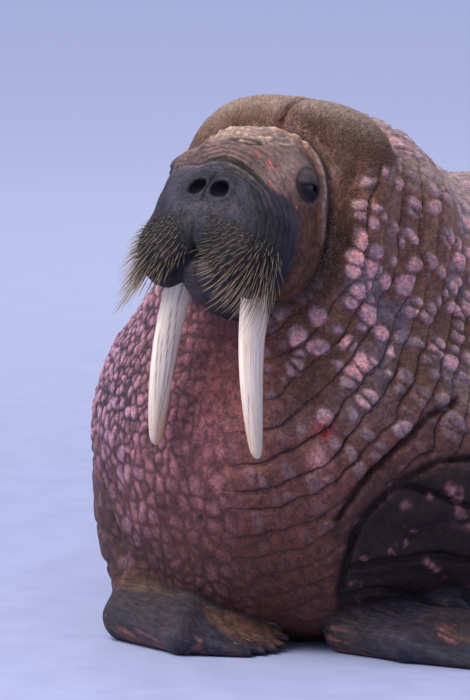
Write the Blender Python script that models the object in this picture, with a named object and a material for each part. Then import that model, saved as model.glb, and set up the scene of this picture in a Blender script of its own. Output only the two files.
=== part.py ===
"""A life-size model of a bull walrus, sitting up on its foreflippers.

Metres, +Z up, the floor at Z = 0. The animal faces -Y, so its own left side is +X.
Flesh is made of rounded masses that melt into each other; every mass has a named size.
"""

import math

import bmesh
import bpy
import numpy as np
from mathutils import Vector

GAP = 0.0003  # clear space between neighbouring solids
RNG_SEED = 11

# Head: the point midway between the eyes, and how far the nose is lifted.
EYES_MID = (0.046, -0.185, 1.138)
HEAD_PITCH = math.radians(20)
HEAD_ROLL = math.radians(2)
EYE_RADIUS = 0.024
LID_RADIUS = 0.033
EYE_PLACE = (0.165, 0.004, -0.022)  # left, forward, up of EYES_MID
EYE_SLIT = (0.060, 0.026, 0.0085)
NOSTRIL = (0.026, 0.142, -0.082)
NOSTRIL_RADII = (0.018, 0.034, 0.021)

# Whiskers stand on two pads; angles are seen from each pad's middle.
PAD = (0.092, 0.070, -0.220)
PAD_RADII = (0.096, 0.090, 0.096)
WHISKER_ROWS = 6
WHISKERS_IN_ROW = 6
WHISKER_LENGTH = (0.030, 0.115)  # by the nose, and at the low outer corner
WHISKER_RADIUS = 0.0020

# Round bosses of thick skin on the neck and chest
BOSSES = 80
BOSS_RADIUS = (0.016, 0.028)
BOSS_HEIGHT = 0.009

# Tusks
TUSK_LENGTH = 0.44
TUSK_RADIUS = 0.033
TUSK_ROOT = (0.096, 0.014, -0.227)
TUSK_SPLAY = math.radians(5.5)
TUSK_RAKE = math.radians(13)
TUSK_BEND = 0.030
TUSK_RINGS = 16

# Where the body is parted: a point, and the way out of the length before it
GROUND = ((0, 0, 0), (0, 0, -1))
THROAT = ((0, 0.05, 0.78), (0, 0.45, -0.89))
WITHERS = ((0, 0.66, 0), (0, 1, 0))
LOINS = ((0, 1.45, 0), (0, 1, 0))
BROW = 0.050  # forward of EYES_MID, across the head
NAPE = -0.150

# Hood of skin round the back of the head, in the head's axes
HOOD = (0.026, -0.150, -0.042)
HOOD_RADII = (0.202, 0.186)
HOOD_THICKNESS = 0.060
HOOD_SQUARENESS = 3.2  # 2 is an oval, and more is squarer

# Flippers: wrist, knuckle and tip of the first and of the last digit
FORE_RIGHT = {
    "front": ((-0.285, -0.190, 0.046), (-0.070, -0.285, 0.034), (0.085, -0.240, 0.009)),
    "back": ((-0.266, -0.100, 0.132), (-0.115, -0.130, 0.122), (0.112, -0.115, 0.028)),
}
FORE_LEFT = {
    "front": ((0.240, -0.060, 0.046), (0.430, -0.100, 0.034), (0.660, -0.100, 0.009)),
    "back": ((0.260, 0.050, 0.115), (0.450, 0.070, 0.100), (0.700, 0.120, 0.026)),
}
HIND = {
    "front": ((0.210, 2.270, 0.045), (0.370, 2.180, 0.030), (0.560, 2.060, 0.009)),
    "back": ((0.230, 2.400, 0.050), (0.420, 2.400, 0.036), (0.640, 2.330, 0.009)),
}
DIGITS = 5
FORE_RADII = (0.050, 0.012)  # of a digit at its wrist and at its tip
HIND_RADII = (0.045, 0.012)

# Arms: side, shoulder and its half sizes, elbow and wrist
ARMS = {
    "left": (
        1, (0.37, 0.22, 0.38), (0.17, 0.29, 0.27), (0.40, 0.21, 0.27), (0.27, 0.04, 0.13),
        FORE_LEFT,
    ),
    "right": (
        -1, (0.34, 0.14, 0.34), (0.14, 0.28, 0.28), (0.34, 0.08, 0.25), (0.27, -0.09, 0.13),
        FORE_RIGHT,
    ),
}
ANKLES = ((0.16, 2.12, 0.13), (0.235, 2.33, 0.06), 0.12, 0.060)
TAIL = ((0, 2.40, 0.13), (0, 2.60, 0.055), 0.055, 0.022)


def head_axes():
    """Columns: the head's own left, forward and up."""
    pitch = np.array([
        [1, 0, 0],
        [0, -math.cos(HEAD_PITCH), math.sin(HEAD_PITCH)],
        [0, math.sin(HEAD_PITCH), math.cos(HEAD_PITCH)],
    ])
    roll = np.array([
        [math.cos(HEAD_ROLL), 0, math.sin(HEAD_ROLL)],
        [0, 1, 0],
        [-math.sin(HEAD_ROLL), 0, math.cos(HEAD_ROLL)],
    ])
    return pitch @ roll


HEAD_AXES = head_axes()


def in_head(left, forward, up):
    """A point given in the head's own axes, in the row frame."""
    return np.array(EYES_MID) + HEAD_AXES @ np.array([left, forward, up])


def length_of(vectors):
    return np.sqrt((vectors * vectors).sum(-1))


def ball(centre, radii, axes=None):
    """Distance to an ellipsoid, near enough to exact close to its surface."""
    centre, radii = np.array(centre), np.array(radii)

    def distance(points):
        local = points - centre
        if axes is not None:
            local = local @ axes
        ratio = length_of(local / radii)
        return ratio * (ratio - 1) / np.maximum(length_of(local / radii**2), 1e-6)

    return distance


def head_ball(left, forward, up, radii):
    return ball(in_head(left, forward, up), radii, HEAD_AXES)


def ring(centre, radii, thickness, squareness, axes):
    """Distance to a squared oval collar: radii in its first and third axis."""
    centre = np.array(centre)

    def distance(points):
        local = (points - centre) @ axes
        across = np.abs(local[:, [0, 2]]) / radii
        reach = ((across**squareness).sum(1) ** (1 / squareness) - 1) * min(radii)
        return np.hypot(reach, local[:, 1]) - thickness

    return distance


def limb(start, end, start_radius, end_radius):
    """Distance to a bone-shaped mass whose radius changes evenly from end to end."""
    start, end = np.array(start), np.array(end)
    along = end - start

    def distance(points):
        share = np.clip((points - start) @ along / (along @ along), 0, 1)
        centre = start + share[:, None] * along
        radius = start_radius + share * (end_radius - start_radius)
        return length_of(points - centre) - radius

    return distance


def melt(a, b, width):
    """The union of two fields, rounded over the stated width."""
    share = np.clip(0.5 + 0.5 * (b - a) / width, 0, 1)
    return b + share * (a - b) - width * share * (1 - share)


def melted(masses):
    """One field from (field, width) pairs, each melted into those before it."""

    def distance(points):
        value = masses[0][0](points)
        for mass, width in masses[1:]:
            value = melt(value, mass(points), width)
        return value

    return distance


def hood_field():
    return ring(in_head(*HOOD), HOOD_RADII, HOOD_THICKNESS, HOOD_SQUARENESS, HEAD_AXES)


def body_field():
    """Torso, neck and the hood of skin round the back of the head."""
    return melted([
        (ball((-0.015, 0.11, 0.46), (0.485, 0.41, 0.455)), 0),
        (ball((-0.010, 0.13, 0.25), (0.455, 0.34, 0.26)), 0.10),
        (ball((0.03, 0.09, 0.84), (0.290, 0.28, 0.36)), 0.16),
        (ball((0, 0.33, 0.80), (0.35, 0.34, 0.35)), 0.14),
        (ball((0.045, 0.15, 0.98), (0.325, 0.235, 0.25)), 0.12),
        (ball((0, 0.50, 0.55), (0.50, 0.50, 0.47)), 0.14),
        (ball((0, 0.85, 0.51), (0.51, 0.55, 0.485)), 0.16),
        (ball((0, 0.80, 0.28), (0.45, 0.75, 0.29)), 0.12),
        (ball((0, 1.20, 0.45), (0.50, 0.58, 0.475)), 0.16),
        (ball((0, 1.55, 0.36), (0.45, 0.56, 0.40)), 0.16),
        (ball((0, 1.70, 0.22), (0.38, 0.55, 0.23)), 0.12),
        (ball((0, 1.97, 0.24), (0.34, 0.46, 0.29)), 0.16),
        (ball((0, 2.28, 0.14), (0.21, 0.26, 0.165)), 0.12),
        (hood_field(), 0.11),
    ])


def head_field():
    masses = [
        (head_ball(0.010, -0.10, -0.022, (0.162, 0.19, 0.136)), 0),
        (head_ball(0.005, 0.00, 0.008, (0.128, 0.10, 0.084)), 0.05),
        (head_ball(0, 0.055, -0.090, (0.105, 0.090, 0.066)), 0.05),
        (head_ball(0, 0.055, -0.172, (0.150, 0.120, 0.096)), 0.05),
    ]
    for side in (1, -1):
        left, forward, up = EYE_PLACE
        masses += [
            (head_ball(side * 0.105, -0.05, -0.15, (0.10, 0.14, 0.14)), 0.07),
            (head_ball(side * (left - 0.020), forward, up, (0.034, 0.050, 0.044)), 0.05),
            (head_ball(side * 0.085, 0.045, -0.115, (0.078, 0.080, 0.085)), 0.05),
            (head_ball(side * PAD[0], *PAD[1:], PAD_RADII), 0.03),
        ]
    return melted(masses)


def jaw_field():
    return melted([
        (head_ball(0, 0.026, -0.244, (0.078, 0.090, 0.068)), 0),
        (head_ball(0, -0.08, -0.245, (0.12, 0.14, 0.10)), 0.06),
    ])


def flipper_field(edges, radii, side=1):
    """A webbed hand: digits spread evenly between its front and back edges."""
    front, back = (np.array(edges[key]) * (side, 1, 1) for key in ("front", "back"))
    wrist_radius, tip_radius = radii
    knuckle_radius = 0.6 * wrist_radius + 0.4 * tip_radius
    masses = []
    for step in range(2 * DIGITS - 1):
        share = step / (2 * DIGITS - 2)
        reach, size = (1.0, 1.0) if step % 2 == 0 else (0.88, 0.75)
        wrist, knuckle, tip = front + share * (back - front)
        tip = knuckle + (tip - knuckle) * (reach + 0.10 * math.sin(math.pi * share))
        masses.append((limb(wrist, knuckle, wrist_radius, size * knuckle_radius), 0.030))
        masses.append((limb(knuckle, tip, size * knuckle_radius, size * tip_radius), 0.022))
    return melted(masses)


def arm_field(shoulder, radii, elbow, wrist, side=1):
    shoulder, elbow, wrist = (np.array(p) * (side, 1, 1) for p in (shoulder, elbow, wrist))
    return melted([
        (ball(shoulder, radii), 0),
        (limb(elbow, wrist, 0.16, 0.098), 0.08),
    ])


def skin_of(distance, low, high, step):
    """Surface nets: one vertex in each cell that the field's zero crosses."""
    axes = [np.arange(a, b + step, step) for a, b in zip(low, high)]
    grid = np.stack(np.meshgrid(*axes, indexing="ij"), -1)
    value = distance(grid.reshape(-1, 3)).reshape(grid.shape[:3])
    cells = tuple(n - 1 for n in value.shape)
    total, count = np.zeros(cells + (3,)), np.zeros(cells)
    crossings = []
    for axis in range(3):
        others = [i for i in range(3) if i != axis]
        first = np.take(value, range(cells[axis]), axis)
        second = np.take(value, range(1, cells[axis] + 1), axis)
        crosses = (first < 0) != (second < 0)
        share = np.where(crosses, first / np.where(crosses, first - second, 1), 0)
        place = np.take(grid, range(cells[axis]), axis).copy()
        place[..., axis] += share * step
        crossings.append((axis, crosses, first < 0))
        for i in (0, 1):
            for j in (0, 1):
                window = [slice(None)] * 3
                target = [slice(None)] * 3
                for other, back in zip(others, (i, j)):
                    window[other] = slice(0, -1) if back == 0 else slice(1, None)
                    target[other] = slice(0, None)
                window, target = tuple(window), tuple(target)
                total[target] += (place * crosses[..., None])[window]
                count[target] += crosses[window]
    used = count > 0
    number = np.full(cells, -1)
    number[used] = np.arange(used.sum())
    points = total[used] / count[used][:, None]
    faces = []
    for axis, crosses, inner in crossings:
        others = [i for i in range(3) if i != axis]
        spot = np.argwhere(crosses)
        spot = spot[(spot[:, others] > 0).all(1)]
        spot = spot[(spot[:, others] < np.array(cells)[others]).all(1)]
        corners = []
        for i, j in ((1, 1), (0, 1), (0, 0), (1, 0)):
            cell = spot.copy()
            cell[:, others[0]] -= i
            cell[:, others[1]] -= j
            corners.append(number[tuple(cell.T)])
        quads = np.stack(corners, 1)
        outward = inner[tuple(spot.T)]
        if axis == 1:
            outward = ~outward
        quads[~outward] = quads[~outward][:, ::-1]
        faces.append(quads)
    return points, np.concatenate(faces)


def slope_of(distance, points, step=0.0015):
    """The field's gradient, by central differences."""
    slope = np.empty_like(points)
    for axis in range(3):
        ahead, behind = points.copy(), points.copy()
        ahead[:, axis] += step
        behind[:, axis] -= step
        slope[:, axis] = (distance(ahead) - distance(behind)) / (2 * step)
    return slope


def settle(distance, points, rounds=2):
    """Points moved onto the field's zero, with the outward direction at each."""
    for _ in range(rounds):
        slope = slope_of(distance, points)
        size = np.maximum((slope * slope).sum(1), 0.05)
        points = points - (distance(points) / size)[:, None] * slope
    slope = slope_of(distance, points)
    return points, slope / np.maximum(length_of(slope), 1e-6)[:, None]


def solid(name, points, faces, material):
    mesh = bpy.data.meshes.new(name)
    mesh.from_pydata(points.tolist(), [], [tuple(face) for face in faces.tolist()])
    mesh.materials.append(material)
    made = bpy.data.objects.new(name, mesh)
    bpy.context.collection.objects.link(made)
    return made


def bake(made):
    """The object's modifiers made part of its mesh."""
    graph = bpy.context.evaluated_depsgraph_get()
    mesh = bpy.data.meshes.new_from_object(made.evaluated_get(graph))
    made.modifiers.clear()
    made.data = mesh
    return made


def thin_out(made, triangles):
    """Fewer faces, kept where the surface bends most."""
    made.data.calc_loop_triangles()
    share = triangles / len(made.data.loop_triangles)
    if share < 1:
        modifier = made.modifiers.new("fewer faces", "DECIMATE")
        modifier.ratio = share
        modifier.use_collapse_triangulate = True
        bake(made)
    return made


def closed_skin_of(distance, low, high, step):
    """The field's skin, on a slightly finer grid where two folds share an edge."""
    for share in (1, 0.93, 0.87, 0.81, 0.76):
        points, faces = skin_of(distance, low, high, step * share)
        edges = np.sort(np.stack([faces, np.roll(faces, -1, 1)], -1).reshape(-1, 2), 1)
        uses = np.unique(edges, axis=0, return_counts=True)[1]
        if (uses == 2).all():
            break
    return points, faces


def flesh(name, distance, low, high, step, triangles, material):
    """A closed solid over a field, with no more than so many faces."""
    points, faces = closed_skin_of(distance, low, high, step)
    points = settle(distance, points)[0]
    made = solid(name, points, faces, material)
    return thin_out(made, triangles)


def cut(made, cutter, operation="DIFFERENCE", solver="EXACT"):
    modifier = made.modifiers.new(operation.lower(), "BOOLEAN")
    modifier.operation = operation
    modifier.solver = solver
    modifier.object = cutter
    return bake(made)


def paint(name, colour, roughness):
    material = bpy.data.materials.new(name)
    material.use_nodes = True
    shader = material.node_tree.nodes["Principled BSDF"]
    shader.inputs["Base Color"].default_value = (*colour, 1)
    shader.inputs["Roughness"].default_value = roughness
    return material


def clear_scene():
    for old in list(bpy.data.objects):
        bpy.data.objects.remove(old)


def shell_of(made, by=0.0005):
    """A cutter: the solid's copy, pushed out along its own normals."""
    shell = bpy.data.objects.new(made.name + "_shell", made.data.copy())
    bpy.context.collection.objects.link(shell)
    for vertex in shell.data.vertices:
        vertex.co += vertex.normal * by
    shell.hide_render = True
    shell.display_type = "WIRE"
    return shell


def keep_largest(made):
    """Drops any loose scrap that a cut leaves, and leaves only triangles."""
    shape = bmesh.new()
    shape.from_mesh(made.data)
    left, pieces = set(shape.verts), []
    while left:
        front = [left.pop()]
        piece = set(front)
        while front:
            near = {e.other_vert(v) for v in front for e in v.link_edges} - piece
            piece |= near
            front = list(near)
        left -= piece
        pieces.append(piece)
    pieces.sort(key=len)
    scraps = [v for piece in pieces[:-1] for v in piece]
    bmesh.ops.delete(shape, geom=scraps, context="VERTS")
    bmesh.ops.triangulate(shape, faces=shape.faces)
    shape.to_mesh(made.data)
    shape.free()
    return made


def part_of(whole, name, planes):
    """A copy of a solid, kept behind each (point, outward normal) plane and capped."""
    made = bpy.data.objects.new(name, whole.data.copy())
    bpy.context.collection.objects.link(made)
    shape = bmesh.new()
    shape.from_mesh(made.data)
    for point, normal in planes:
        normal = Vector(normal).normalized()
        place = Vector(point) - normal * GAP / 2
        everything = shape.verts[:] + shape.edges[:] + shape.faces[:]
        bmesh.ops.bisect_plane(
            shape, geom=everything, plane_co=place, plane_no=normal, clear_outer=True, dist=1e-6
        )
        rim = [e for e in shape.edges if e.is_boundary]
        bmesh.ops.holes_fill(shape, edges=rim, sides=0)
    shape.to_mesh(made.data)
    shape.free()
    return keep_largest(made)


def opposite(plane):
    point, normal = plane
    return point, tuple(-x for x in normal)


def tusk_line(side):
    """Points along the tusk's middle, from inside the jaw to the tip."""
    share = np.linspace(0, 1, TUSK_RINGS)[:, None]
    along = np.array([
        side * math.sin(TUSK_SPLAY), -math.sin(TUSK_RAKE), -math.cos(TUSK_RAKE)
    ])
    line = np.array(TUSK_ROOT) * (side, 1, 1) + share * TUSK_LENGTH * along
    line[:, 1] += TUSK_BEND * np.sin(math.pi * share[:, 0])
    return np.array(EYES_MID) + line @ HEAD_AXES.T


def tusk(name, side, material):
    """A tapered tube along a gentle arc that rakes back and splays out."""
    rings, sides = TUSK_RINGS, 12
    share = np.linspace(0, 1, rings)[:, None]
    line = tusk_line(side)
    radius = TUSK_RADIUS * np.sqrt(1 - 0.45 * share - 0.50 * share**4)
    turn = np.linspace(0, 2 * math.pi, sides, endpoint=False)
    circle = np.cos(turn)[:, None] * HEAD_AXES[:, 0]
    circle = circle + 1.12 * np.sin(turn)[:, None] * HEAD_AXES[:, 1]
    points = (line[:, None] + radius[:, None] * circle).reshape(-1, 3)
    tip = line[-1] + (line[-1] - line[-2]) * 0.15
    points = np.vstack([points, line[:1], tip])
    faces = []
    for ring_number in range(rings - 1):
        for i in range(sides):
            a, b = ring_number * sides + i, ring_number * sides + (i + 1) % sides
            faces.append((a, a + sides, b + sides, b))
    first, last = rings * sides, rings * sides + 1
    for i in range(sides):
        j = (i + 1) % sides
        faces.append((first, i, j))
        faces.append((last, (rings - 1) * sides + j, (rings - 1) * sides + i))
    return solid(name, points, np.array(faces, dtype=object), material)


def round_piece(name, place, radii, material, detail=2):
    """An ellipsoid in the head's axes, of 80 faces at detail 2."""
    shape = bmesh.new()
    bmesh.ops.create_icosphere(shape, subdivisions=detail, radius=1)
    for vertex in shape.verts:
        vertex.co = Vector(in_head(*(np.array(place) + np.array(vertex.co) * radii)))
    bmesh.ops.reverse_faces(shape, faces=shape.faces)
    mesh = bpy.data.meshes.new(name)
    shape.to_mesh(mesh)
    shape.free()
    mesh.materials.append(material)
    made = bpy.data.objects.new(name, mesh)
    bpy.context.collection.objects.link(made)
    return made


def fuse(made, pieces):
    """One union of the node and all its small pieces, which are then removed."""
    group = bpy.data.collections.new("pieces")
    bpy.context.scene.collection.children.link(group)
    for piece in pieces:
        bpy.context.collection.objects.unlink(piece)
        group.objects.link(piece)
    modifier = made.modifiers.new("union", "BOOLEAN")
    modifier.operation = "UNION"
    modifier.operand_type = "COLLECTION"
    modifier.collection = group
    bake(made)
    for piece in pieces:
        bpy.data.objects.remove(piece)
    bpy.data.collections.remove(group)
    return keep_largest(made)


def whisker(line, radius, material):
    """A three-sided spine that tapers along its line to a point."""
    turn = np.array([0, 2, 4]) * math.pi / 3
    ahead = np.gradient(line, axis=0)
    ahead /= length_of(ahead)[:, None]
    across = np.cross(ahead, (0.3, 0.1, 1.0))
    across /= length_of(across)[:, None]
    third = np.cross(ahead, across)
    size = radius * (1 - 0.75 * np.linspace(0, 1, len(line)))[:, None, None]
    circle = np.cos(turn)[None, :, None] * across[:, None]
    circle = circle + np.sin(turn)[None, :, None] * third[:, None]
    points = (line[:, None] + size * circle)[:-1].reshape(-1, 3)
    points = np.vstack([points, line[-1:]])
    faces = [(0, 1, 2)]
    for start in range(0, len(points) - 4, 3):
        for i in range(3):
            a, b = start + i, start + (i + 1) % 3
            faces += [(a, a + 3, b + 3), (a, b + 3, b)]
    last = len(points) - 4
    faces += [(last + i, last + 3, last + (i + 1) % 3) for i in range(3)]
    return solid("whisker", points, np.array(faces, dtype=object), material)


def whisker_lines(side, face, keep_clear):
    """Rows over the pad; each spine leaves the skin, leans forward and hangs down."""
    draw = np.random.default_rng(RNG_SEED + side)
    lines = []
    forward, up = HEAD_AXES[:, 1], HEAD_AXES[:, 2]
    for row in range(WHISKER_ROWS):
        height = 0.42 - 1.30 * row / (WHISKER_ROWS - 1)
        for spot in range(WHISKERS_IN_ROW):
            turn = -0.45 + 1.75 * (spot + 0.5 * (row % 2)) / (WHISKERS_IN_ROW - 0.5)
            way = np.array([
                side * math.sin(turn) * math.cos(height),
                math.cos(turn) * math.cos(height),
                math.sin(height),
            ])
            start = in_head(*(np.array([side * PAD[0], *PAD[1:]]) + way * PAD_RADII))
            root, outward = settle(face, start[None], 4)
            root, outward = root[0], outward[0]
            share = 0.65 * row / (WHISKER_ROWS - 1) + 0.35 * spot / (WHISKERS_IN_ROW - 1)
            length = WHISKER_LENGTH[0] + (WHISKER_LENGTH[1] - WHISKER_LENGTH[0]) * share
            length *= draw.uniform(0.85, 1.1)
            first = 0.75 * outward + 0.35 * forward - 0.45 * up
            first = first / np.linalg.norm(first)
            step = np.linspace(-0.008 / length, 1, 4)[:, None]
            drop = np.array([0, 0, -0.55]) * np.maximum(step, 0) ** 2
            line = root + length * (first * step + drop)
            if all(field(line[2:]).min() > 0.004 for field in keep_clear):
                lines.append(line)
    return lines


def boss(place, outward, radius, material):
    """A low six-sided dome, its lower half sunk in the skin."""
    side = np.cross(outward, (0.2, 0.3, 1.0))
    side /= np.linalg.norm(side)
    other = np.cross(outward, side)
    turn = np.arange(6) * math.pi / 3
    circle = np.cos(turn)[:, None] * side + np.sin(turn)[:, None] * other
    points = np.vstack([
        place - outward * 0.4 * BOSS_HEIGHT + radius * 1.3 * circle,
        place + outward * BOSS_HEIGHT,
        place - outward * 4 * BOSS_HEIGHT,
    ])
    faces = []
    for i in range(6):
        j = (i + 1) % 6
        faces += [(i, j, 6), (j, i, 7)]
    return solid("boss", points, np.array(faces), material)


def bosses_on(body_distance, keep_clear, material):
    """Bosses spread by farthest choice over the neck, the chest and the shoulders."""
    draw = np.random.default_rng(RNG_SEED)
    start = draw.uniform((-0.6, -0.45, 0.15), (0.6, 0.75, 1.10), (9000, 3))
    start = start[np.abs(body_distance(start)) < 0.08]
    places, outward = settle(body_distance, start, 3)
    clear = np.min([field(places) for field in keep_clear], 0)
    good = (clear > 0.035) & (places[:, 2] > 0.12) & (outward[:, 2] < 0.80)
    places, outward = places[good], outward[good]
    chosen = [0]
    gap = length_of(places - places[0])
    while len(chosen) < BOSSES:
        chosen.append(int(gap.argmax()))
        gap = np.minimum(gap, length_of(places - places[chosen[-1]]))
    return [
        boss(places[i], outward[i], draw.uniform(*BOSS_RADIUS), material) for i in chosen
    ]


def hidden(made):
    made.hide_render = True
    made.display_type = "WIRE"
    return made


def box_round(edges, side=1, margin=0.20):
    places = np.array([p for key in ("front", "back") for p in edges[key]]) * (side, 1, 1)
    return places.min(0) - margin, places.max(0) + margin


def floor_slab():
    """A block whose top is the floor, to flatten what rests on it."""
    shape = bmesh.new()
    bmesh.ops.create_cube(shape, size=8)
    mesh = bpy.data.meshes.new("floor_slab")
    shape.to_mesh(mesh)
    shape.free()
    slab = bpy.data.objects.new("floor_slab", mesh)
    slab.location = (0, 1, -4)
    bpy.context.collection.objects.link(slab)
    return hidden(slab)


def arm_of(word):
    side, shoulder, radii, elbow, wrist, _ = ARMS[word]
    return arm_field(shoulder, radii, elbow, wrist, side)


def trunk(hide):
    """The body and its cutter, and the two lengths that the head cuts."""
    distance = body_field()
    body = hidden(flesh("body", distance, (-0.6, -0.4, -0.1), (0.6, 2.6, 1.4), 0.03, 2900, hide))
    cutter = shell_of(body)
    near = [
        head_field(), jaw_field(), arm_of("left"), arm_of("right"),
        flipper_field(FORE_LEFT, FORE_RADII), flipper_field(FORE_RIGHT, FORE_RADII),
        hood_field(),
    ]
    fuse(body, bosses_on(distance, near, hide))
    neck = part_of(body, "neck", [THROAT])
    chest = part_of(body, "chest", [opposite(THROAT), WITHERS, GROUND])
    part_of(body, "torso", [opposite(WITHERS), LOINS, GROUND])
    part_of(body, "hindquarters", [opposite(LOINS), GROUND])
    return cutter, neck, chest


def lidded_eye(word, side, skull, skin, wet):
    """The ball of the eye, and round it the bulge of the lids with its narrow slit."""
    place = np.array(EYE_PLACE) * (side, 1, 1)
    lids = hidden(round_piece("lids", place, (LID_RADIUS,) * 3, skin, 3))
    cut(skull, lids, "UNION", "MANIFOLD")
    slit = hidden(round_piece("slit", place, EYE_SLIT, skin))
    socket = hidden(round_piece("socket", place, (EYE_RADIUS + GAP,) * 3, skin))
    for cutter in (slit, socket):
        cut(skull, cutter, solver="MANIFOLD")
    round_piece("eye_" + word, place, (EYE_RADIUS,) * 3, wet)


def face(skin, wet):
    """Skull, muzzle, whiskers and eyes; returns the cutter that makes room for them."""
    low, high = np.array(EYES_MID) - 0.42, np.array(EYES_MID) + 0.42
    distance = head_field()
    whole = hidden(flesh("whole_head", distance, low, high, 0.012, 2400, skin))
    forward = HEAD_AXES[:, 1]
    brow = (in_head(0, BROW, 0), tuple(forward))
    nape = (in_head(0, NAPE, 0), tuple(-forward))
    front = hidden(part_of(whole, "front_head", [nape]))
    skull = part_of(front, "head", [brow])
    muzzle = part_of(front, "muzzle", [opposite(brow)])
    for side, word in ((1, "left"), (-1, "right")):
        lidded_eye(word, side, skull, skin, wet)
        left, forward, up = NOSTRIL
        cut(muzzle, hidden(
            round_piece("nostril", (side * left, forward, up), NOSTRIL_RADII, skin)
        ))
    return shell_of(front), muzzle


def whiskers(muzzle, skin):
    distance = head_field()
    tusks = []
    for side in (1, -1):
        line = tusk_line(side)
        tusks.append(limb(line[0], line[-1], TUSK_RADIUS * 1.1, TUSK_RADIUS * 0.9))
    keep_clear = [jaw_field(), body_field(), *tusks]
    behind = limb(in_head(0, 0.03, 0.1), in_head(0, 0.03, -0.4), 0.012, 0.012)
    spines = []
    for side in (1, -1):
        for line in whisker_lines(side, distance, keep_clear + [behind]):
            spines.append(whisker(line, WHISKER_RADIUS, skin))
    fuse(muzzle, spines)


def foreleg(word, body_shell, slab, hide, palm):
    side, shoulder, radii, elbow, wrist, hand = ARMS[word]
    centre = np.array(shoulder) * (side, 1, 1)
    field = arm_field(shoulder, radii, elbow, wrist, side)
    arm = flesh("foreleg_" + word, field, centre - 0.42, centre + 0.42, 0.02, 500, hide)
    cut(arm, body_shell)
    keep_largest(arm)
    made = flesh(
        "foreflipper_" + word, flipper_field(hand, FORE_RADII), *box_round(hand),
        0.010, 760, palm,
    )
    for cutter in (body_shell, shell_of(arm), slab):
        cut(made, cutter)
    keep_largest(made)
    cut(arm, slab)


def hindflipper(word, side, body_shell, slab, palm):
    ankle = limb(*(np.array(p) * (side, 1, 1) for p in ANKLES[:2]), *ANKLES[2:])
    field = melted([(flipper_field(HIND, HIND_RADII, side), 0), (ankle, 0.05)])
    made = flesh(
        "hindflipper_" + word, field, *box_round(HIND, side), 0.011, 520, palm
    )
    cut(made, body_shell)
    cut(made, slab)
    keep_largest(made)


def main():
    clear_scene()
    hide = paint("hide", (0.26, 0.16, 0.13), 0.75)
    skin = paint("face", (0.10, 0.09, 0.11), 0.7)
    palm = paint("flipper", (0.08, 0.06, 0.055), 0.6)
    ivory = paint("ivory", (0.78, 0.68, 0.52), 0.35)
    wet = paint("eye", (0.02, 0.015, 0.012), 0.1)
    slab = floor_slab()
    body_shell, neck, chest = trunk(hide)
    head_shell, muzzle = face(skin, wet)
    cut(neck, head_shell)
    cut(chest, head_shell)
    low, high = np.array(EYES_MID) - 0.45, np.array(EYES_MID) + 0.30
    jaw = flesh("lower_jaw", jaw_field(), low, high, 0.012, 400, skin)
    cut(jaw, head_shell)
    cut(jaw, body_shell)
    keep_largest(jaw)
    jaw_shell = shell_of(jaw)
    whiskers(muzzle, skin)
    for side, word in ((1, "left"), (-1, "right")):
        made = tusk("tusk_" + word, side, ivory)
        for cutter in (head_shell, jaw_shell, body_shell):
            cut(made, cutter)
        keep_largest(made)
        foreleg(word, body_shell, slab, hide, palm)
        hindflipper(word, side, body_shell, slab, palm)
    tail = flesh("tail", limb(*TAIL), (-0.2, 2.2, -0.1), (0.2, 2.8, 0.3), 0.012, 200, hide)
    cut(tail, body_shell)
    keep_largest(tail)
    for made in list(bpy.data.objects):
        if made.hide_render:
            bpy.data.objects.remove(made)
            continue
        made.data.polygons.foreach_set("use_smooth", [True] * len(made.data.polygons))
        made.data.set_sharp_from_angle(angle=math.radians(40))


main()
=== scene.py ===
# A life-size bull walrus sitting up on its foreflippers: one skin over the solids,
# then eyes, tusks, whiskers, nails and short fur.
# Metres, +Z up, the floor at Z = 0. The animal faces -Y, so its own left is +X.
import math

import bmesh
import bpy
import numpy as np
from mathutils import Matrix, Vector
from mathutils.kdtree import KDTree


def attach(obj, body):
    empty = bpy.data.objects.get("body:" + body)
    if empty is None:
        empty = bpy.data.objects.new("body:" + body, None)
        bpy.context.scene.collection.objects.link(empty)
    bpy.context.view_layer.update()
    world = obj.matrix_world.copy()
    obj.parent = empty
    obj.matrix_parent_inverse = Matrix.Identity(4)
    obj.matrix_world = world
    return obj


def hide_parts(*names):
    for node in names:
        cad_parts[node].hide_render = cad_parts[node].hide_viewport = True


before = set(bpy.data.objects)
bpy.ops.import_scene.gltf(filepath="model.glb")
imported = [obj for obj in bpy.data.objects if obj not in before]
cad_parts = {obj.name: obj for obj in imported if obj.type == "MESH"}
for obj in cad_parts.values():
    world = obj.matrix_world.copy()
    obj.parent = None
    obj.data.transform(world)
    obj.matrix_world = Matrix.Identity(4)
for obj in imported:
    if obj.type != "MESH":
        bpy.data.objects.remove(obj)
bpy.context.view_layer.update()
print("frame loaded:", len(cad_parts), "solids")


# Vectors, noise and colour, all on whole arrays
def lengthOf(vectors):
    return np.sqrt((vectors * vectors).sum(-1))


def unit(vectors):
    return vectors / np.maximum(lengthOf(vectors), 1e-9)[..., None]


def ramp(value, low, high):  # 0 below low, 1 above high, an even S between them
    share = np.clip((value - low) / (high - low), 0, 1)
    return share * share * (3 - 2 * share)


def mix(first, second, share):
    return first + (second - first) * share


def blend(first, second, share):  # the same for rows, with one share for each
    return mix(first, second, share[:, None])


def bell(value, width):  # 1 at zero, falling off evenly on both sides: e^-(v / w)^2
    return np.exp(-((value / width) ** 2))


def lattice(cell, seed):  # an even random number from 0 to 1 for each whole-number corner
    mixed = cell[..., 0] * 374761393 + cell[..., 1] * 668265263 + cell[..., 2] * 1440662683
    mixed = (mixed + seed * 97531) & 0x7FFFFFFF
    mixed = ((mixed ^ (mixed >> 13)) * 1274126177) & 0x7FFFFFFF
    mixed = ((mixed ^ (mixed >> 15)) * 748796405) & 0x7FFFFFFF
    return ((mixed ^ (mixed >> 16)) & 0xFFFFF) / 0xFFFFF


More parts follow.
